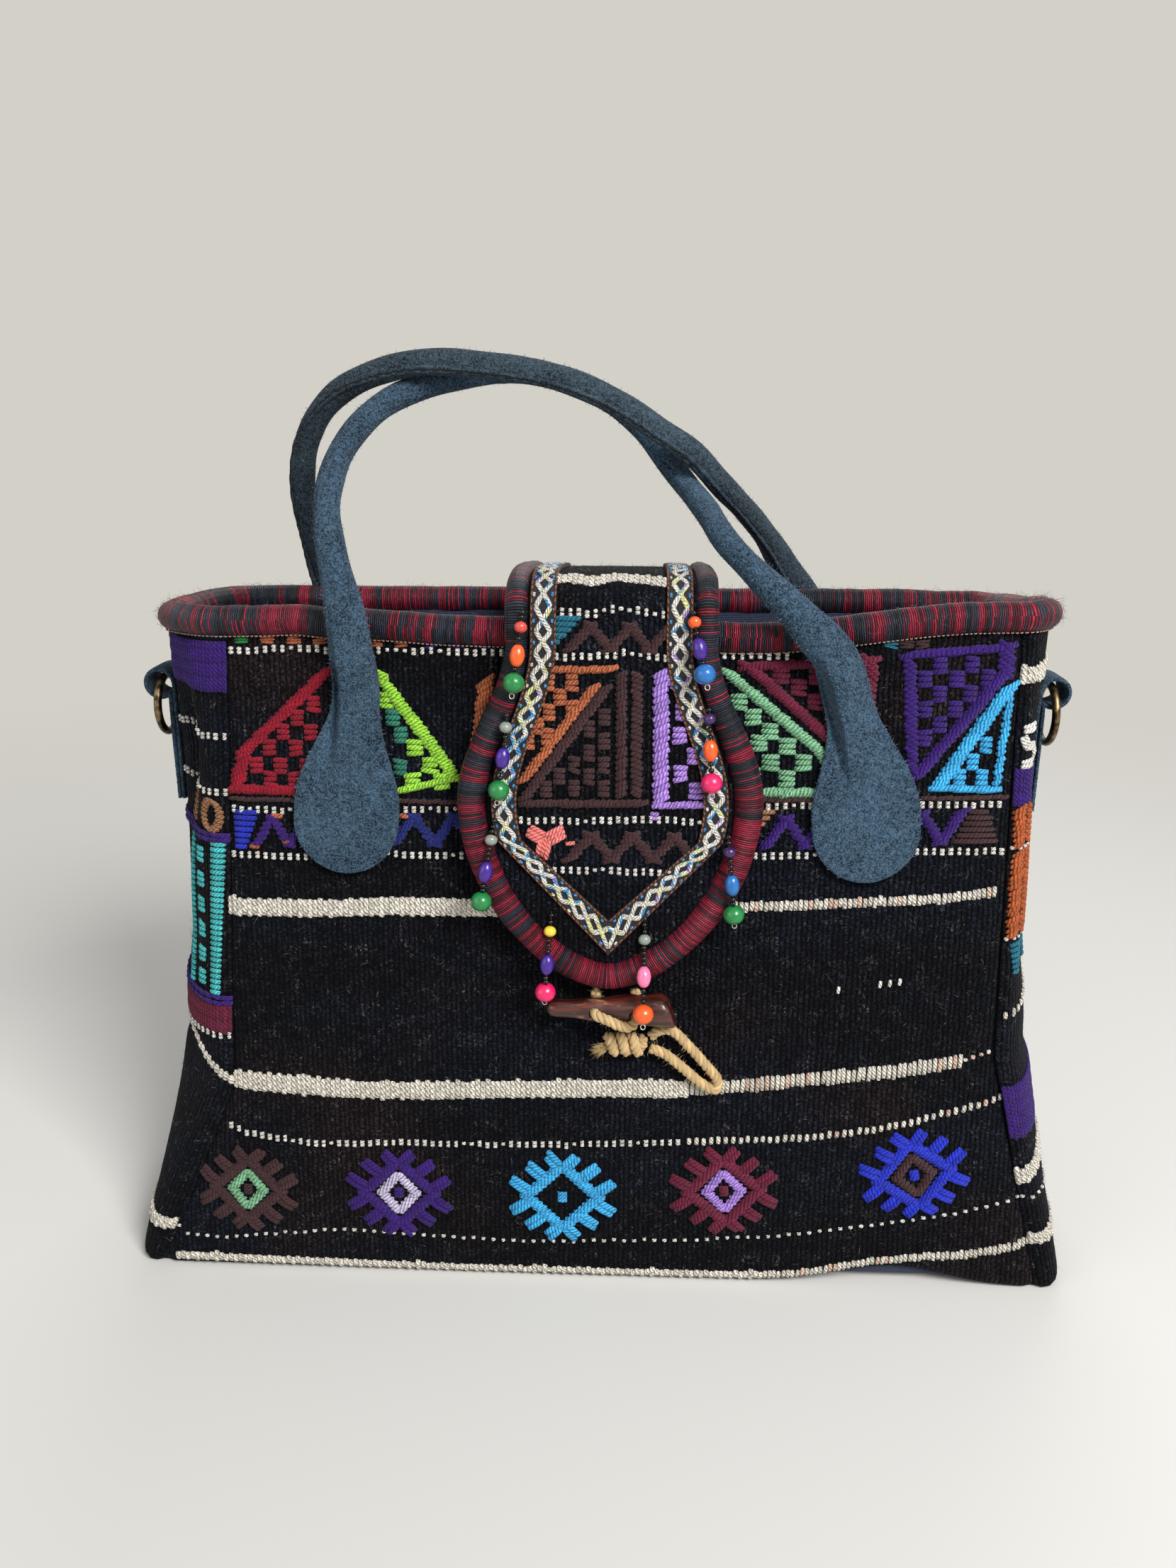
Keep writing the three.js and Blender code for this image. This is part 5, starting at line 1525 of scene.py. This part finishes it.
# %% Flap pattern
pattern = Stitches(flap_at)
pattern.grains([(-24, 159.4), (-17, 161), (-8, 158.4), (2, 162), (11, 160.4), (21, 158.4)], 5.0)
for line in ([(-23, 146), (-17, 146.5), (-8, 145.4), (1, 147.2), (11, 146.4), (21, 145.2)],
             [(-25, 129.5), (-9, 129.7), (5, 131.1), (23, 129)],
             [(-36, 64.6), (-9, 65.1), (15, 65.9), (40, 64.9)],
             [(-29, 44.5), (-2, 45), (24.5, 44)]):
    pattern.dots(line, pitch=3.2, size=1.8)
pattern.ladder([(-24.5, 144), (-11, 144), (-17, 137.4), (-24.5, 137.4)], "teal", 2.1, 2.3)
pattern.ladder([(-24.5, 137.2), (-18, 137.2), (-21.5, 132), (-24.5, 132)], "teal", 2.1, 2.3)
pattern.zigzag([(-15.6, 137), (22, 137)], 9, "brown", 7.6, 7)
pattern.band((-25, 124.4), (0, 124.8), "rust", 6.4, 2.3, 2.5)
pattern.band((-6.5, 118), (-34, 81), "rust", 7, 2.3, 2.5)
pattern.blocks([(-24, 119.6), (-15, 119.6), (-19.6, 114), (-28, 113.4), (-23.8, 108), (-14.8, 109.6),
                (-28.4, 102.6), (-32, 96.6), (-24.4, 98.6)], "rust", 5.6)
pattern.band((4.1, 122.6), (4.4, 76), "brown", 5.2, 2.2, 2.5, slant=0.5)
pattern.band((10, 122.6), (10.4, 76), "brown", 5.2, 2.2, 2.5, slant=-0.5)
pattern.band((-2, 117.4), (-33, 74.4), "brown", 7, 2.2, 2.5)
pattern.band((-33, 71.6), (12, 72.4), "brown", 7, 2.3, 2.5)
for x, rises in ((-2.4, (106.4, 97, 87.6, 78.2)), (-8.2, (101.7, 92.3, 82.9)), (-14, (87.6, 78.2)),
                 (-19.8, (82.9,)), (-25, (77.6,))):
    pattern.blocks([(x, z) for z in rises], "brown", 5.0)
pattern.band((19.4, 123.4), (20, 74), "lilac", 7.4, 2.3, 2.6, slant=0.5)
pattern.band((22.6, 121.6), (29.6, 112.4), "lilac", 6, 2.2, 2.5)
pattern.band((19, 71.8), (37, 72.2), "lilac", 6.4, 2.3, 2.5)
pattern.blocks([(27.6, 108.6), (26.8, 99.6), (32.6, 91.6), (27.4, 84.6), (33.6, 77.8)], "lilac", 6.2)
pattern.block((17.7, 67.4), "lilac", 3.6, 2, 1.8)
for start, end in (((-32.4, 61), (-25.4, 57)), ((-17.4, 61), (-25.6, 56.4)), ((-25, 58), (-27.4, 49))):
    pattern.bundle(start, end, 3, 2.4, "pink")
pattern.lay((-17.4, 55.4), (-13.4, 56), 1.8, "pink")
pattern.zigzag([(-15.4, 54.4), (36, 54.4)], 10, "brown", 8.2, 7.6)
pattern.make("flap_stitches")

# %% Fuzz of the cloth
GREY = ("#2b2c34", "#3d3f49", "#5d5b5b", "#8b8480")
FRONT_HAIRS, GUSSET_HAIRS, FLAP_HAIRS = 4700, 1200, 1500
shape = Shape()
x, z = chance.uniform(-150, 160, FRONT_HAIRS), chance.uniform(3, 268, FRONT_HAIRS)
fuzz(shape, front_at, x * np.where(z < 85, 1.1, 1), z, 1, 2.6, GREY)
for place, side in ((left_at, -1), (right_at, 1)):
    across, up = chance.uniform(1, 90, GUSSET_HAIRS), chance.uniform(4, 270, GUSSET_HAIRS)
    fuzz(shape, place, across, up, side, 3, GREY)
pieces_on("bag", "wool", shape.make("body_fuzz", FIBRE))
shape = Shape()
up = chance.uniform(30, FLAP_LENGTH - 4, FLAP_HAIRS)
across = flap_half(up, 9) * chance.uniform(-1, 1, FLAP_HAIRS)
fuzz(shape, flap_at, across, up, 1, 2.6, ("#4a3a3a", *GREY))
pieces_on("bag", "wool", shape.make("flap_fuzz", FIBRE))

# %% [markdown]
# ## Suede handles
# Each handle is one strip of suede, rolled to a tube and sewn, with both ends opened flat into a
# teardrop. So its section changes along it: a 3 mm plate with a hump where the roll runs out, and then
# a round tube. One edge of the strip lies over the other, so a crease runs down beside the hump. The
# raw edges of the roll stand up as two lips with stitches between them, and the nap stands off it.


# %% Handle route and section
PAD_DROP, PAD_HALF, NECK_HALF, TUBE_HALF, PLATE = 97, 21.5, 9.5, 5.1, 3
ROUND, NAP = 80, 4400


def handle_section(from_end):
    """Half the width and half the thickness of a handle, by how far it is from its sewn end."""
    round_ = np.sqrt(np.maximum(0.01, PAD_HALF**2 - np.maximum(0, PAD_HALF - from_end) ** 2))
    width = mix(mix(PAD_HALF, NECK_HALF, ease(from_end, 28, 72)), TUBE_HALF, ease(from_end, 72, 153))
    thick = mix(PLATE / 2, TUBE_HALF, ease(from_end, 34.4, 99))
    return np.where(from_end < PAD_HALF, round_, width), thick


def handle_route(side, left, right, loop):
    """The middle line of a handle from its left sewn end over the loop to its right one."""
    def end(pad, over):
        spots = []
        for x, rise in pad:
            z = RIM - PAD_DROP + rise
            spots.append((x, side * (face_depth(x, z, side) + handle_section(rise)[1] + 2 * CLEAR), z))
        for x, above in over:
            thick = handle_section(PAD_DROP + above)[1]
            away = body_depth(x, WALL_TOP) - CLOTH / 2 + RIM_CORD / 2 + thick + CLEAR
            spots.append((x, side * away, RIM + above + rim_lift(x, side * away)))
        return [tuple(float(v) for v in spot) for spot in spots]
    return curve([*end(*left), *((x, y, RIM + above) for x, y, above in loop), *end(*right)[::-1]])


def handle_frame(route, stations, side):
    """The middle line of a handle at its stations, with its directions along, across and outwards."""
    middle = spaced(route, stations)
    fine = spaced(route, np.clip(np.stack([stations - 1, stations + 1]), 0, reach(route)[-1]))
    along = unit(fine[1] - fine[0])
    x, z = middle[:, 0], middle[:, 2]
    slope = np.where(z < WALL_TOP, face_depth(x + 0.5, z, side) - face_depth(x - 0.5, z, side), 0)
    across = unit(np.cross(along, np.stack([side * slope, -np.ones_like(x), 0 * x], -1)))
    return middle, along, across, np.cross(across, along) * -side


# %% Handle outline
def handle_outline(stations, total):
    """The outline at each station, across and outwards: a plate with a hump, and then a round tube."""
    from_end = np.minimum(stations, total - stations)
    width, thick = (value[:, None] for value in handle_section(from_end))
    angle = around(ROUND)
    u = width * np.cos(angle)
    rolled = ease(from_end, 78, 108)[:, None]
    left = u * np.where(stations < total / 2, 1, -1)[:, None]
    hump = ease(left, -7.5, -4.5) * np.exp(-(np.maximum(0, left - 1) / 9) ** 2)
    crease = np.exp(-(((left + 7.4) / 1.3) ** 2)) * ease(from_end, 36, 52)[:, None] * (1 - rolled)
    full = np.maximum(0, 2 * thick - PLATE) * ease(from_end, 26, 66)[:, None]
    full = full + 1.2 * ease(from_end, 24, 48)[:, None]
    face = -thick + PLATE + full * hump * (1 - 0.4 * rolled) - 1.9 * crease
    edge = np.abs(np.sin(angle)) ** mix(0.34, 1, rolled)
    top, low = (face + thick) / 2 * edge, (face - thick) / 2
    v = mix(low + np.where(np.sin(angle) > 0, top, -top), thick * np.sin(angle), rolled)
    lump = 0.3 * np.sin(stations / 9 + np.cos(angle)[:, None] * 2).T
    lump = lump + 0.25 * np.sin(stations / 4.1)[:, None]
    return u * (1 + lump * rolled / 12), v * (1 + lump * rolled / 9)


def sewn_roll(shape, middle, along, ways, radius):
    """Two raw lips along the rolled tube, with stitches between them."""
    for lean in (-0.17, 0.17):
        leaning = unit(ways + np.cross(along, ways) * lean)
        lip_line, lip_size = domed(middle + leaning * (radius - 0.1)[:, None], 0.95)
        wobble = 1 + 0.16 * np.sin(np.arange(len(lip_line)) * 1.9 + lean * 20)
        tube(shape, rounds(lip_line, lip_size * wobble, 7))
    stitch_line(shape, middle + ways * (radius + 0.3)[:, None], ways, 3.2, 1.6, 0.8, DYES["black"], slot=1)


def handle(name, side, route, finish, node, seam_ways, tint):
    """A handle with its sewn seam on the side that the seam ways give along it, and with its nap."""
    total = reach(route)[-1]
    ends = np.concatenate([[0.15, 0.5, 1.1, 2], np.arange(3.4, 140, 1.6)])
    stations = np.concatenate([ends, np.arange(141, total - 140.5, 2.6), total - ends[::-1]])
    middle, along, across, out = handle_frame(route, stations, side)
    u, v = handle_outline(stations, total)
    rings = middle[:, None] + across[:, None] * u[..., None] + out[:, None] * v[..., None]
    shape = Shape()
    tube(shape, rings)
    share, seam_ways = np.linspace(0, 1, len(seam_ways)), np.array(seam_ways, float)
    ways = follow(seam_ways, share, stations / total)
    ways = unit(ways - along * (ways * along).sum(axis=1, keepdims=True))
    from_end = np.minimum(stations, total - stations)
    width, thick = handle_section(from_end)
    radius = np.hypot(width * (across * ways).sum(axis=1), thick * (out * ways).sum(axis=1))
    rolled = from_end > 100
    sewn_roll(shape, middle[rolled], along[rolled], ways[rolled], radius[rolled])
    pick, spin = chance.integers(3, len(stations) - 3, NAP), chance.integers(0, ROUND, NAP)
    roots = rings[pick, spin]
    ways = unit(roots - middle[pick] + out[pick] * thick[pick, None] * 0.6)
    for direction, spread in ((along, 1), (across, 0.7)):
        ways = ways + direction[pick] * chance.normal(0, spread, (NAP, 1))
    shades = tint * chance.uniform(0.3, 2.4, (NAP, 1))
    hairs(shape, roots, ways, 0.4 + 1.6 * chance.random(NAP) ** 1.5, 0.17, shades, 2)
    pieces_on("bag", "suede", shape.make(name, finish, THREAD, FIBRE), node)
    print(f"{name}: {total:.0f} mm along its middle")


# %% Two handles
front_route = handle_route(
    -1, ([(-103, 0), (-100, 41), (-96, 72)], [(-96, -8), (-97, 6)]),
    ([(109, 0), (105.5, 41), (98, 72)], [(91, -8), (79, 6)]),
    [(-102, -50, 34), (-104.5, -40, 52), (-100.5, -25, 70), (-85, -9, 87), (-58, 4, 96.5), (-28, 11, 98.5),
     (-0.5, 13, 89), (16, 11.5, 77), (25, 9, 66), (33.5, 2, 55.5), (42, -14, 45.5), (51, -36, 33.5)])
handle("front_suede_handle", -1, front_route, FRONT_SUEDE, "front_handle",
       [(0.3, 0.9, 0), (0.2, 0.9, -0.3), (0, 0.7, -0.7), (-0.2, 0.9, -0.3), (-0.3, 0.9, 0)],
       tint_of("#5f7387"))
back_route = handle_route(
    1, ([(-118, 0), (-119, 41), (-122, 72)], [(-126, -8), (-130, 6)]),
    ([(108, 0), (106, 41), (102, 72)], [(96, -8), (88, 6)]),
    [(-132, 44, 23.5), (-133, 30, 50), (-124, 14, 74.5), (-105, 0, 92), (-76, -9, 101), (-44.5, -10, 100.5),
     (-16.5, -10, 95.5), (6, -9, 86.5), (23, -7, 76), (36.5, -4, 67), (48.5, 5, 55), (61, 21, 42.5),
     (74, 38, 27)])
handle("back_suede_handle", 1, back_route, BACK_SUEDE, "back_handle",
       [(-0.7, -0.6, 0.2), (-0.8, -0.5, 0.1), (-0.1, -0.7, -0.6), (-0.4, -0.8, -0.3), (-0.5, -0.8, -0.1)],
       tint_of("#4d5b64"))

# %% [markdown]
# ## Tabs and rings
# On each side a suede strap is folded round a bronze ring and sewn to the gusset. The strap is one
# flat section carried along its fold. The ring is a torus primitive.

# %% Side tabs
TAB_TOP, TAB_DROP, TAB_POINTS, TAB_SIDES, TAB_NAP = 251, 52, 110, 20, 500
FOLD_MIDDLE, FOLD_RADIUS, RING_DROP, TAB_SEWN = 7.2, 6.2, 10.3, 44


def strap_line(side, top_reach, lean):
    """The middle line of a folded strap: up along the gusset, round the ring and down again."""
    arc = np.linspace(np.pi, -np.radians(132.6), 40)
    loop = np.stack([FOLD_MIDDLE + FOLD_RADIUS * np.cos(arc), FOLD_RADIUS * np.sin(arc)], -1)
    fold = np.concatenate([[(1.0, k - TAB_DROP) for k in np.linspace(0, 50, 20)], loop,
                           [(3.05, -8 - k) for k in np.linspace(0, 44, 18)]])
    x, z = spaced(fold, np.linspace(0, reach(fold)[-1], TAB_POINTS)).T
    cos, sin = np.cos(lean), np.sin(lean)
    turned = np.stack([x * cos - z * sin, 0 * x, x * sin + z * cos], -1)
    return turned * [side, 1, 1] + [side * (top_reach + CLEAR), 0, TAB_TOP]


def suede_tab(name, side, line):
    """A strap with two rows of stitches and its nap."""
    out = np.cross((0.0, 1.0, 0.0), unit(np.gradient(line, axis=0)))
    angle = around(TAB_SIDES)
    wide = 8.9 + 0.25 * np.sin(np.arange(TAB_POINTS) / 6)
    aside = (wide[:, None] * sharpen(np.cos(angle), 0.35))[..., None]
    thick = (0.98 * sharpen(np.sin(angle), 0.5))[:, None]
    rings = line[:, None] + np.array([0, 1.0, 0]) * aside + out[:, None] * thick
    shape = Shape()
    tube(shape, rings)
    ways = np.tile([side * 1.0, 0, 0], (TAB_SEWN, 1))
    for across in (-6.6, 6.6):
        outer = line[-TAB_SEWN:] + [0, across, 0] + [side * 1.0, 0, 0]
        stitch_line(shape, outer, ways, 2.6, 1.3, 0.6, tint_of("#27323f"), slot=1)
    pick = chance.integers(0, TAB_POINTS, TAB_NAP)
    roots = rings[pick, chance.integers(0, TAB_SIDES, TAB_NAP)]
    shades = tint_of("#5f7387") * chance.uniform(0.35, 1.6, (TAB_NAP, 1))
    ways = roots - line[pick] + chance.normal(0, 1, (TAB_NAP, 3))
    hairs(shape, roots, ways, chance.uniform(0.4, 1.3, TAB_NAP), 0.17, shades, 2)
    tab = shape.make(f"{name}_suede_tab", FRONT_SUEDE, THREAD, FIBRE)
    pieces_on("bag", "suede", tab, f"{name}_ring_tab")


# %% Rings in the tabs
def bronze_ring(name, side, top_reach, lean):
    """A torus that hangs in the fold of its strap and leans with it."""
    out = FOLD_MIDDLE * math.cos(lean) + RING_DROP * math.sin(lean)
    rise = FOLD_MIDDLE * math.sin(lean) - RING_DROP * math.cos(lean)
    bpy.ops.object.select_all(action="DESELECT")
    bpy.ops.mesh.primitive_torus_add(
        major_segments=72, minor_segments=16, major_radius=0.0125, minor_radius=0.0017,
        location=(side * (top_reach + CLEAR + out) * 0.001, 0, (TAB_TOP + rise) * 0.001),
        rotation=(0, math.pi / 2 - side * lean, 0))
    ring = bpy.context.object
    ring.name = f"{name}_bronze_ring"
    bpy.ops.object.transform_apply(location=True, rotation=True, scale=True)
    bpy.ops.object.shade_smooth()
    ring.data.materials.append(BRONZE)
    pieces_on(f"{name}_ring", "bronze", ring, f"{name}_ring")


for name, side in (("left", -1), ("right", 1)):
    top_reach, low_reach = (float(side_reach(height)) for height in (TAB_TOP, TAB_TOP - TAB_DROP))
    lean = math.atan2(low_reach - top_reach, TAB_DROP)
    suede_tab(name, side, strap_line(side, top_reach, lean))
    bronze_ring(name, side, top_reach, lean)

# %% [markdown]
# ## Toggle and jute
# The toggle is a drilled piece of polished branch, thin at one end and cut off at a slant at the other.
# Jute comes through one hole to the front, across it and back through the other. The rope is three
# twisted plies, so each ply is a tube that winds round the rope's route.

# %% Toggle
TOGGLE_LENGTH, TOGGLE_LEFT, TOGGLE_THICK, TOGGLE_SIDES, HOLES = 51, 19.6, 7.3, 32, (0.6, 16.8)


def drilled(piece, vertices, radius, depth, **where):
    """Cuts a round hole through a piece."""
    bpy.ops.mesh.primitive_cylinder_add(vertices=vertices, radius=radius, depth=depth, **where)
    drill = bpy.context.object
    bpy.ops.object.select_all(action="DESELECT")
    bpy.context.view_layer.objects.active = piece
    cut = piece.modifiers.new("hole", "BOOLEAN")
    cut.object, cut.operation, cut.solver = drill, "DIFFERENCE", "EXACT"
    bpy.ops.object.modifier_apply(modifier="hole")
    bpy.data.objects.remove(drill)


toggle_z = tip_z - FLAP_CORD / 2 - 8
toggle_y = float(-body_depth(FLAP_MIDDLE, toggle_z) - CLEAR - TOGGLE_THICK)
stations = np.concatenate([[0.05, 0.3, 0.8, 1.6, 2.6], np.linspace(4, 48.6, 34), [49.6, 50.3, 50.8, 51]])
distances = [0, 0.3, 0.8, 1.6, 2.6, 4, 28, 49.5, 50.4, 51]
profile = np.interp(stations, distances, [0.4, 1.3, 2.0, 2.6, 3.0, 3.3, 5.5, 7.1, 6.7, 6.2])
profile = profile * (1 + 0.035 * np.sin(stations / 2.3) + 0.03 * np.sin(stations / 5.1 + 1))
angle = around(TOGGLE_SIDES)
rough = 1 + 0.03 * np.sin(angle * 3 + stations[:, None] / 7)
rough = rough + 0.02 * np.sin(angle * 5 - stations[:, None] / 3)
y = profile[:, None] * rough * np.cos(angle)
z = profile[:, None] * rough * np.sin(angle)
x = stations[:, None] - z / TOGGLE_THICK * 2.8 * ease(stations, 30, TOGGLE_LENGTH)[:, None]
shape = Shape()
tube(shape, np.stack([x - TOGGLE_LEFT, y + toggle_y, z + toggle_z], -1))
toggle = shape.make("branch_toggle", WOOD, sharp=50)
for x in HOLES:
    drilled(toggle, 28, 0.0026, 0.08, rotation=(math.pi / 2, 0, 0),
            location=(x * 0.001, toggle_y * 0.001, toggle_z * 0.001))
pieces_on("toggle", "toggle_wood", toggle, "toggle")
print("toggle faces after drilling:", len(toggle.data.polygons))

# %% Jute through the toggle
TAN, ROPE, PLIES = tint_of("#c2a679"), 4.5, 3


def plied(shape, line, diameter=ROPE, pitch=7.5):
    """A rope of twisted plies along a line."""
    length = reach(line)[-1]
    line = spaced(line, np.linspace(0, length, max(12, int(length / 0.55))))
    first, second = frames(line)
    turn = reach(line) / pitch * 2 * np.pi
    for ply in range(PLIES):
        spin = turn + ply * 2 * np.pi / PLIES
        wound = line + (first * np.cos(spin)[:, None] + second * np.sin(spin)[:, None]) * diameter * 0.245
        ply_line, size = domed(wound, diameter * 0.255)
        size = size * (1 + 0.06 * np.sin(np.arange(len(size)) * 0.9))
        tube(shape, rounds(ply_line, size, 8), TAN * chance.uniform(0.85, 1.12))
    return line


def fray(shape, line, count, longest):
    """Loose fibres that stand off a rope."""
    pick = chance.integers(0, len(line), count)
    ways = chance.normal(size=(count, 3))
    along = unit(np.gradient(line, axis=0)[pick])
    ways = unit(ways - along * (ways * along).sum(axis=1, keepdims=True) * 0.5)
    lengths = chance.uniform(0.6, longest, count)
    shades = TAN * chance.uniform(0.7, 1.4, (count, 1))
    hairs(shape, line[pick] + ways * ROPE * 0.45, ways, lengths, 0.16, shades)


tied_y, tied_z = float(flap_line[0, 1]), tip_z - FLAP_CORD / 2 - CLEAR - ROPE / 2
left, right = HOLES
near, far = (mix(3.3, 7.1, (x + TOGGLE_LEFT) / TOGGLE_LENGTH) for x in HOLES)
route = [(left, tied_y, tied_z + 1), (left, toggle_y + near + 1.6, toggle_z + 2),
         (left, toggle_y + 1, toggle_z), (left + 0.6, toggle_y - near - 0.6, toggle_z),
         (left + 3.4, toggle_y - near - 2.0, toggle_z - 0.6),
         (right - 3.4, toggle_y - far - 1.2, toggle_z - 4.2),
         (right - 0.6, toggle_y - far + 0.4, toggle_z - 3.4), (right, toggle_y + 1, toggle_z),
         (right, toggle_y + far + 1.2, toggle_z + 2), (right, tied_y, tied_z + 1)]
shape = Shape()
line = plied(shape, curve(route))
fray(shape, line, 160, 2.4)
pieces_on("toggle", "jute", shape.make("toggle_jute", JUTE), "toggle_cord")

# %% [markdown]
# ## Knot and closing loop
# A second piece of jute is knotted on the front. Its loop is free and hangs open beside the toggle.

# %% Knot
KNOT_X, KNOT_Z, TASSEL = 13, 114.6, 130
knot = np.array([KNOT_X, float(-body_depth(KNOT_X, KNOT_Z)) - CLEAR - 4, KNOT_Z])
turn = np.linspace(0.2, 3.15 * 2 * np.pi, 150)
across = np.linspace(0, 1, 150)
coil = np.stack([mix(-7.6, 7.2, across), 1.8 * np.cos(turn) - 0.1, 3.4 * np.sin(turn)], -1) + knot
shape = Shape()
line = plied(shape, coil, pitch=6.5)
fray(shape, line, 140, 2.2)
core = curve([knot + [-8.5, 0.6, -1.2], knot + [-3, 0, 0.4], knot + [3, 0, -0.2], knot + [8.8, 0, 0.3]])
plied(shape, core, 3.6)
ways = unit(np.array([-1.0, -0.25, -0.35]) + chance.normal(0, 0.33, (TASSEL, 3)))
roots = knot + [-9, -0.5, -1.5] + chance.normal(0, 0.9, (TASSEL, 3))
lengths = chance.uniform(2.5, 6.5, TASSEL)
hairs(shape, roots, ways, lengths, 0.24, TAN * chance.uniform(0.8, 1.4, (TASSEL, 1)))
pieces_on("bag", "jute", shape.make("jute_knot", JUTE), "closing_knot")

# %% Closing loop
hang = [(23.1, -2.2), (29, -4.6), (37, -11), (44.5, -17.5), (50.5, -20.5), (51.5, -16.5), (46, -9),
        (39, -1), (32, 5.6), (26.8, 5.6), (23.1, 2.6)]
route = []
for x, drop in hang:
    z = KNOT_Z + drop
    route.append((x, float(-body_depth(x, z)) - 2 * CLEAR - ROPE / 2, z))
shape = Shape()
line = plied(shape, curve(route))
loop = pieces_on("bag", "jute", shape.make("closing_loop_jute", JUTE), "closing_loop")
shape = Shape()
fray(shape, line, 230, 2.6)
pieces_on("bag", "jute", shape.make("closing_loop_fibres", JUTE))

# %% [markdown]
# ## Bead pendants
# Eight pendants hang on the flap: a thread with black glass seeds, a small bead, an oval one and a
# round one of lacquered wood. Each bead shape is modelled once, a sphere stretched and drilled, and
# copied to its places. A fine wire loop ends each pendant.


# %% Bead shapes
BEAD_SIZES = {"small": (5, 4.2), "oval": (5.7, 8.2), "round": (8.3, 7.4)}


def drilled_bead(diameter, height):
    """One bead to copy: a stretched sphere with a bore."""
    bpy.ops.object.select_all(action="DESELECT")
    bpy.ops.mesh.primitive_uv_sphere_add(segments=28, ring_count=18, radius=diameter / 2000)
    bead = bpy.context.object
    bead.scale = (1, 1, height / diameter * 1.06)
    bpy.ops.object.transform_apply(location=False, rotation=False, scale=True)
    drilled(bead, 16, 0.0008, 0.02)
    bead.data.shade_smooth()
    bead.data.set_sharp_from_angle(angle=math.radians(50))
    return bead


SAMPLES = {kind: drilled_bead(*size) for kind, size in BEAD_SIZES.items()}


def solid_points(node):
    """The points of a solid in the bag's frame, in millimetres."""
    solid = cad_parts[node]
    points = np.array([vertex.co for vertex in solid.data.vertices])
    return (points @ np.array(solid.matrix_world)[:3, :3].T + np.array(solid.matrix_world)[:3, 3]) * 1000


def bore_way(points):
    """The direction of a turned body's axis: the one that differs from the other two."""
    sizes, ways = np.linalg.eigh(np.cov((points - points.mean(axis=0)).T))
    way = ways[:, 0] if sizes[1] - sizes[0] > sizes[2] - sizes[1] else ways[:, 2]
    return way if way[2] < 0 else -way


# %% Beads and seeds of a pendant
def hung_bead(name, kind, colour):
    """One bead in the place of its solid. It gives the bead's middle and the way of its bore."""
    points = solid_points(f"{name}_{kind}_bead")
    middle, way = (points.min(axis=0) + points.max(axis=0)) / 2, bore_way(points)
    bead = SAMPLES[kind].copy()
    bead.data = SAMPLES[kind].data.copy()
    bead.name = bead.data.name = f"{name}_{kind}_wood"
    bpy.context.scene.collection.objects.link(bead)
    turn = Vector(way).to_track_quat("Z", "Y").to_matrix().to_4x4()
    bead.data.transform(Matrix.Translation(middle * 0.001) @ turn)
    bead.data.materials.append(LACQUER[colour])
    pieces_on(name, f"bead_{colour}", bead, f"{name}_{kind}_bead")
    return middle, way


def seeds(shape, above, below):
    """Black glass seeds on the thread between two places."""
    span = np.linalg.norm(below - above)
    axis = (below - above) / span
    count = max(1, int((span - 0.4) / 1.9))
    arc = np.linspace(np.pi - 0.15, 0.15, 7)
    for share in (np.arange(count) + 0.5) / count:
        spot = mix(above, below, share) + chance.normal(0, 0.12, 3)
        seed_line = spot + axis * np.cos(arc)[:, None] * 0.86
        tube(shape, rounds(seed_line, 1.2 * np.sin(arc) ** 0.7, 10))


# %% Strung pendants
PENDANTS = {
    "left_top": ("red", "orange", "green"), "left_mid": ("grey", "purple", "green"),
    "left_low": ("grey", "purple", "green"), "tip_left": ("yellow", "purple", "pink"),
    "tip_right": ("grey", "rose", "orange"), "right_top": ("orange", "purple", "blue"),
    "right_mid": ("plum", "orange", "pink"), "right_low": ("plum", "blue", "green"),
}
for which, colours in PENDANTS.items():
    name = f"pendant_{which}"
    thread_points = solid_points(f"{name}_thread")
    above = thread_points[np.argsort(-thread_points[:, 2])[:5]].mean(axis=0)
    shape = Shape()
    string = [above]
    for (kind, (_, tall)), colour in zip(BEAD_SIZES.items(), colours):
        middle, way = hung_bead(name, kind, colour)
        entry, leave = (middle + way * sign * (tall / 2 + 0.25) for sign in (-1, 1))
        seeds(shape, above, entry)
        string += [entry, middle, leave]
        above = leave
    string = np.array(string)
    thread_line = spaced(string, np.linspace(0, reach(string)[-1], 60))
    tube(shape, rounds(thread_line, 0.32, 6), DYES["black"], slot=1)
    spin = np.linspace(0, 2 * np.pi, 24, endpoint=False)[:, None]
    aside = unit(np.cross(way, (0.0, 1.0, 0.0)))
    eye = above + way + (aside * np.cos(spin) * 0.9 - way * np.sin(spin))
    tube(shape, rounds(eye, 0.22, 6, start=(0.0, 1.0, 0.0)), closed=True, slot=2)
    pieces_on(name, "thread", shape.make(f"{name}_seeds", GLASS, THREAD, WIRE), f"{name}_thread")
for sample in SAMPLES.values():
    bpy.data.objects.remove(sample)
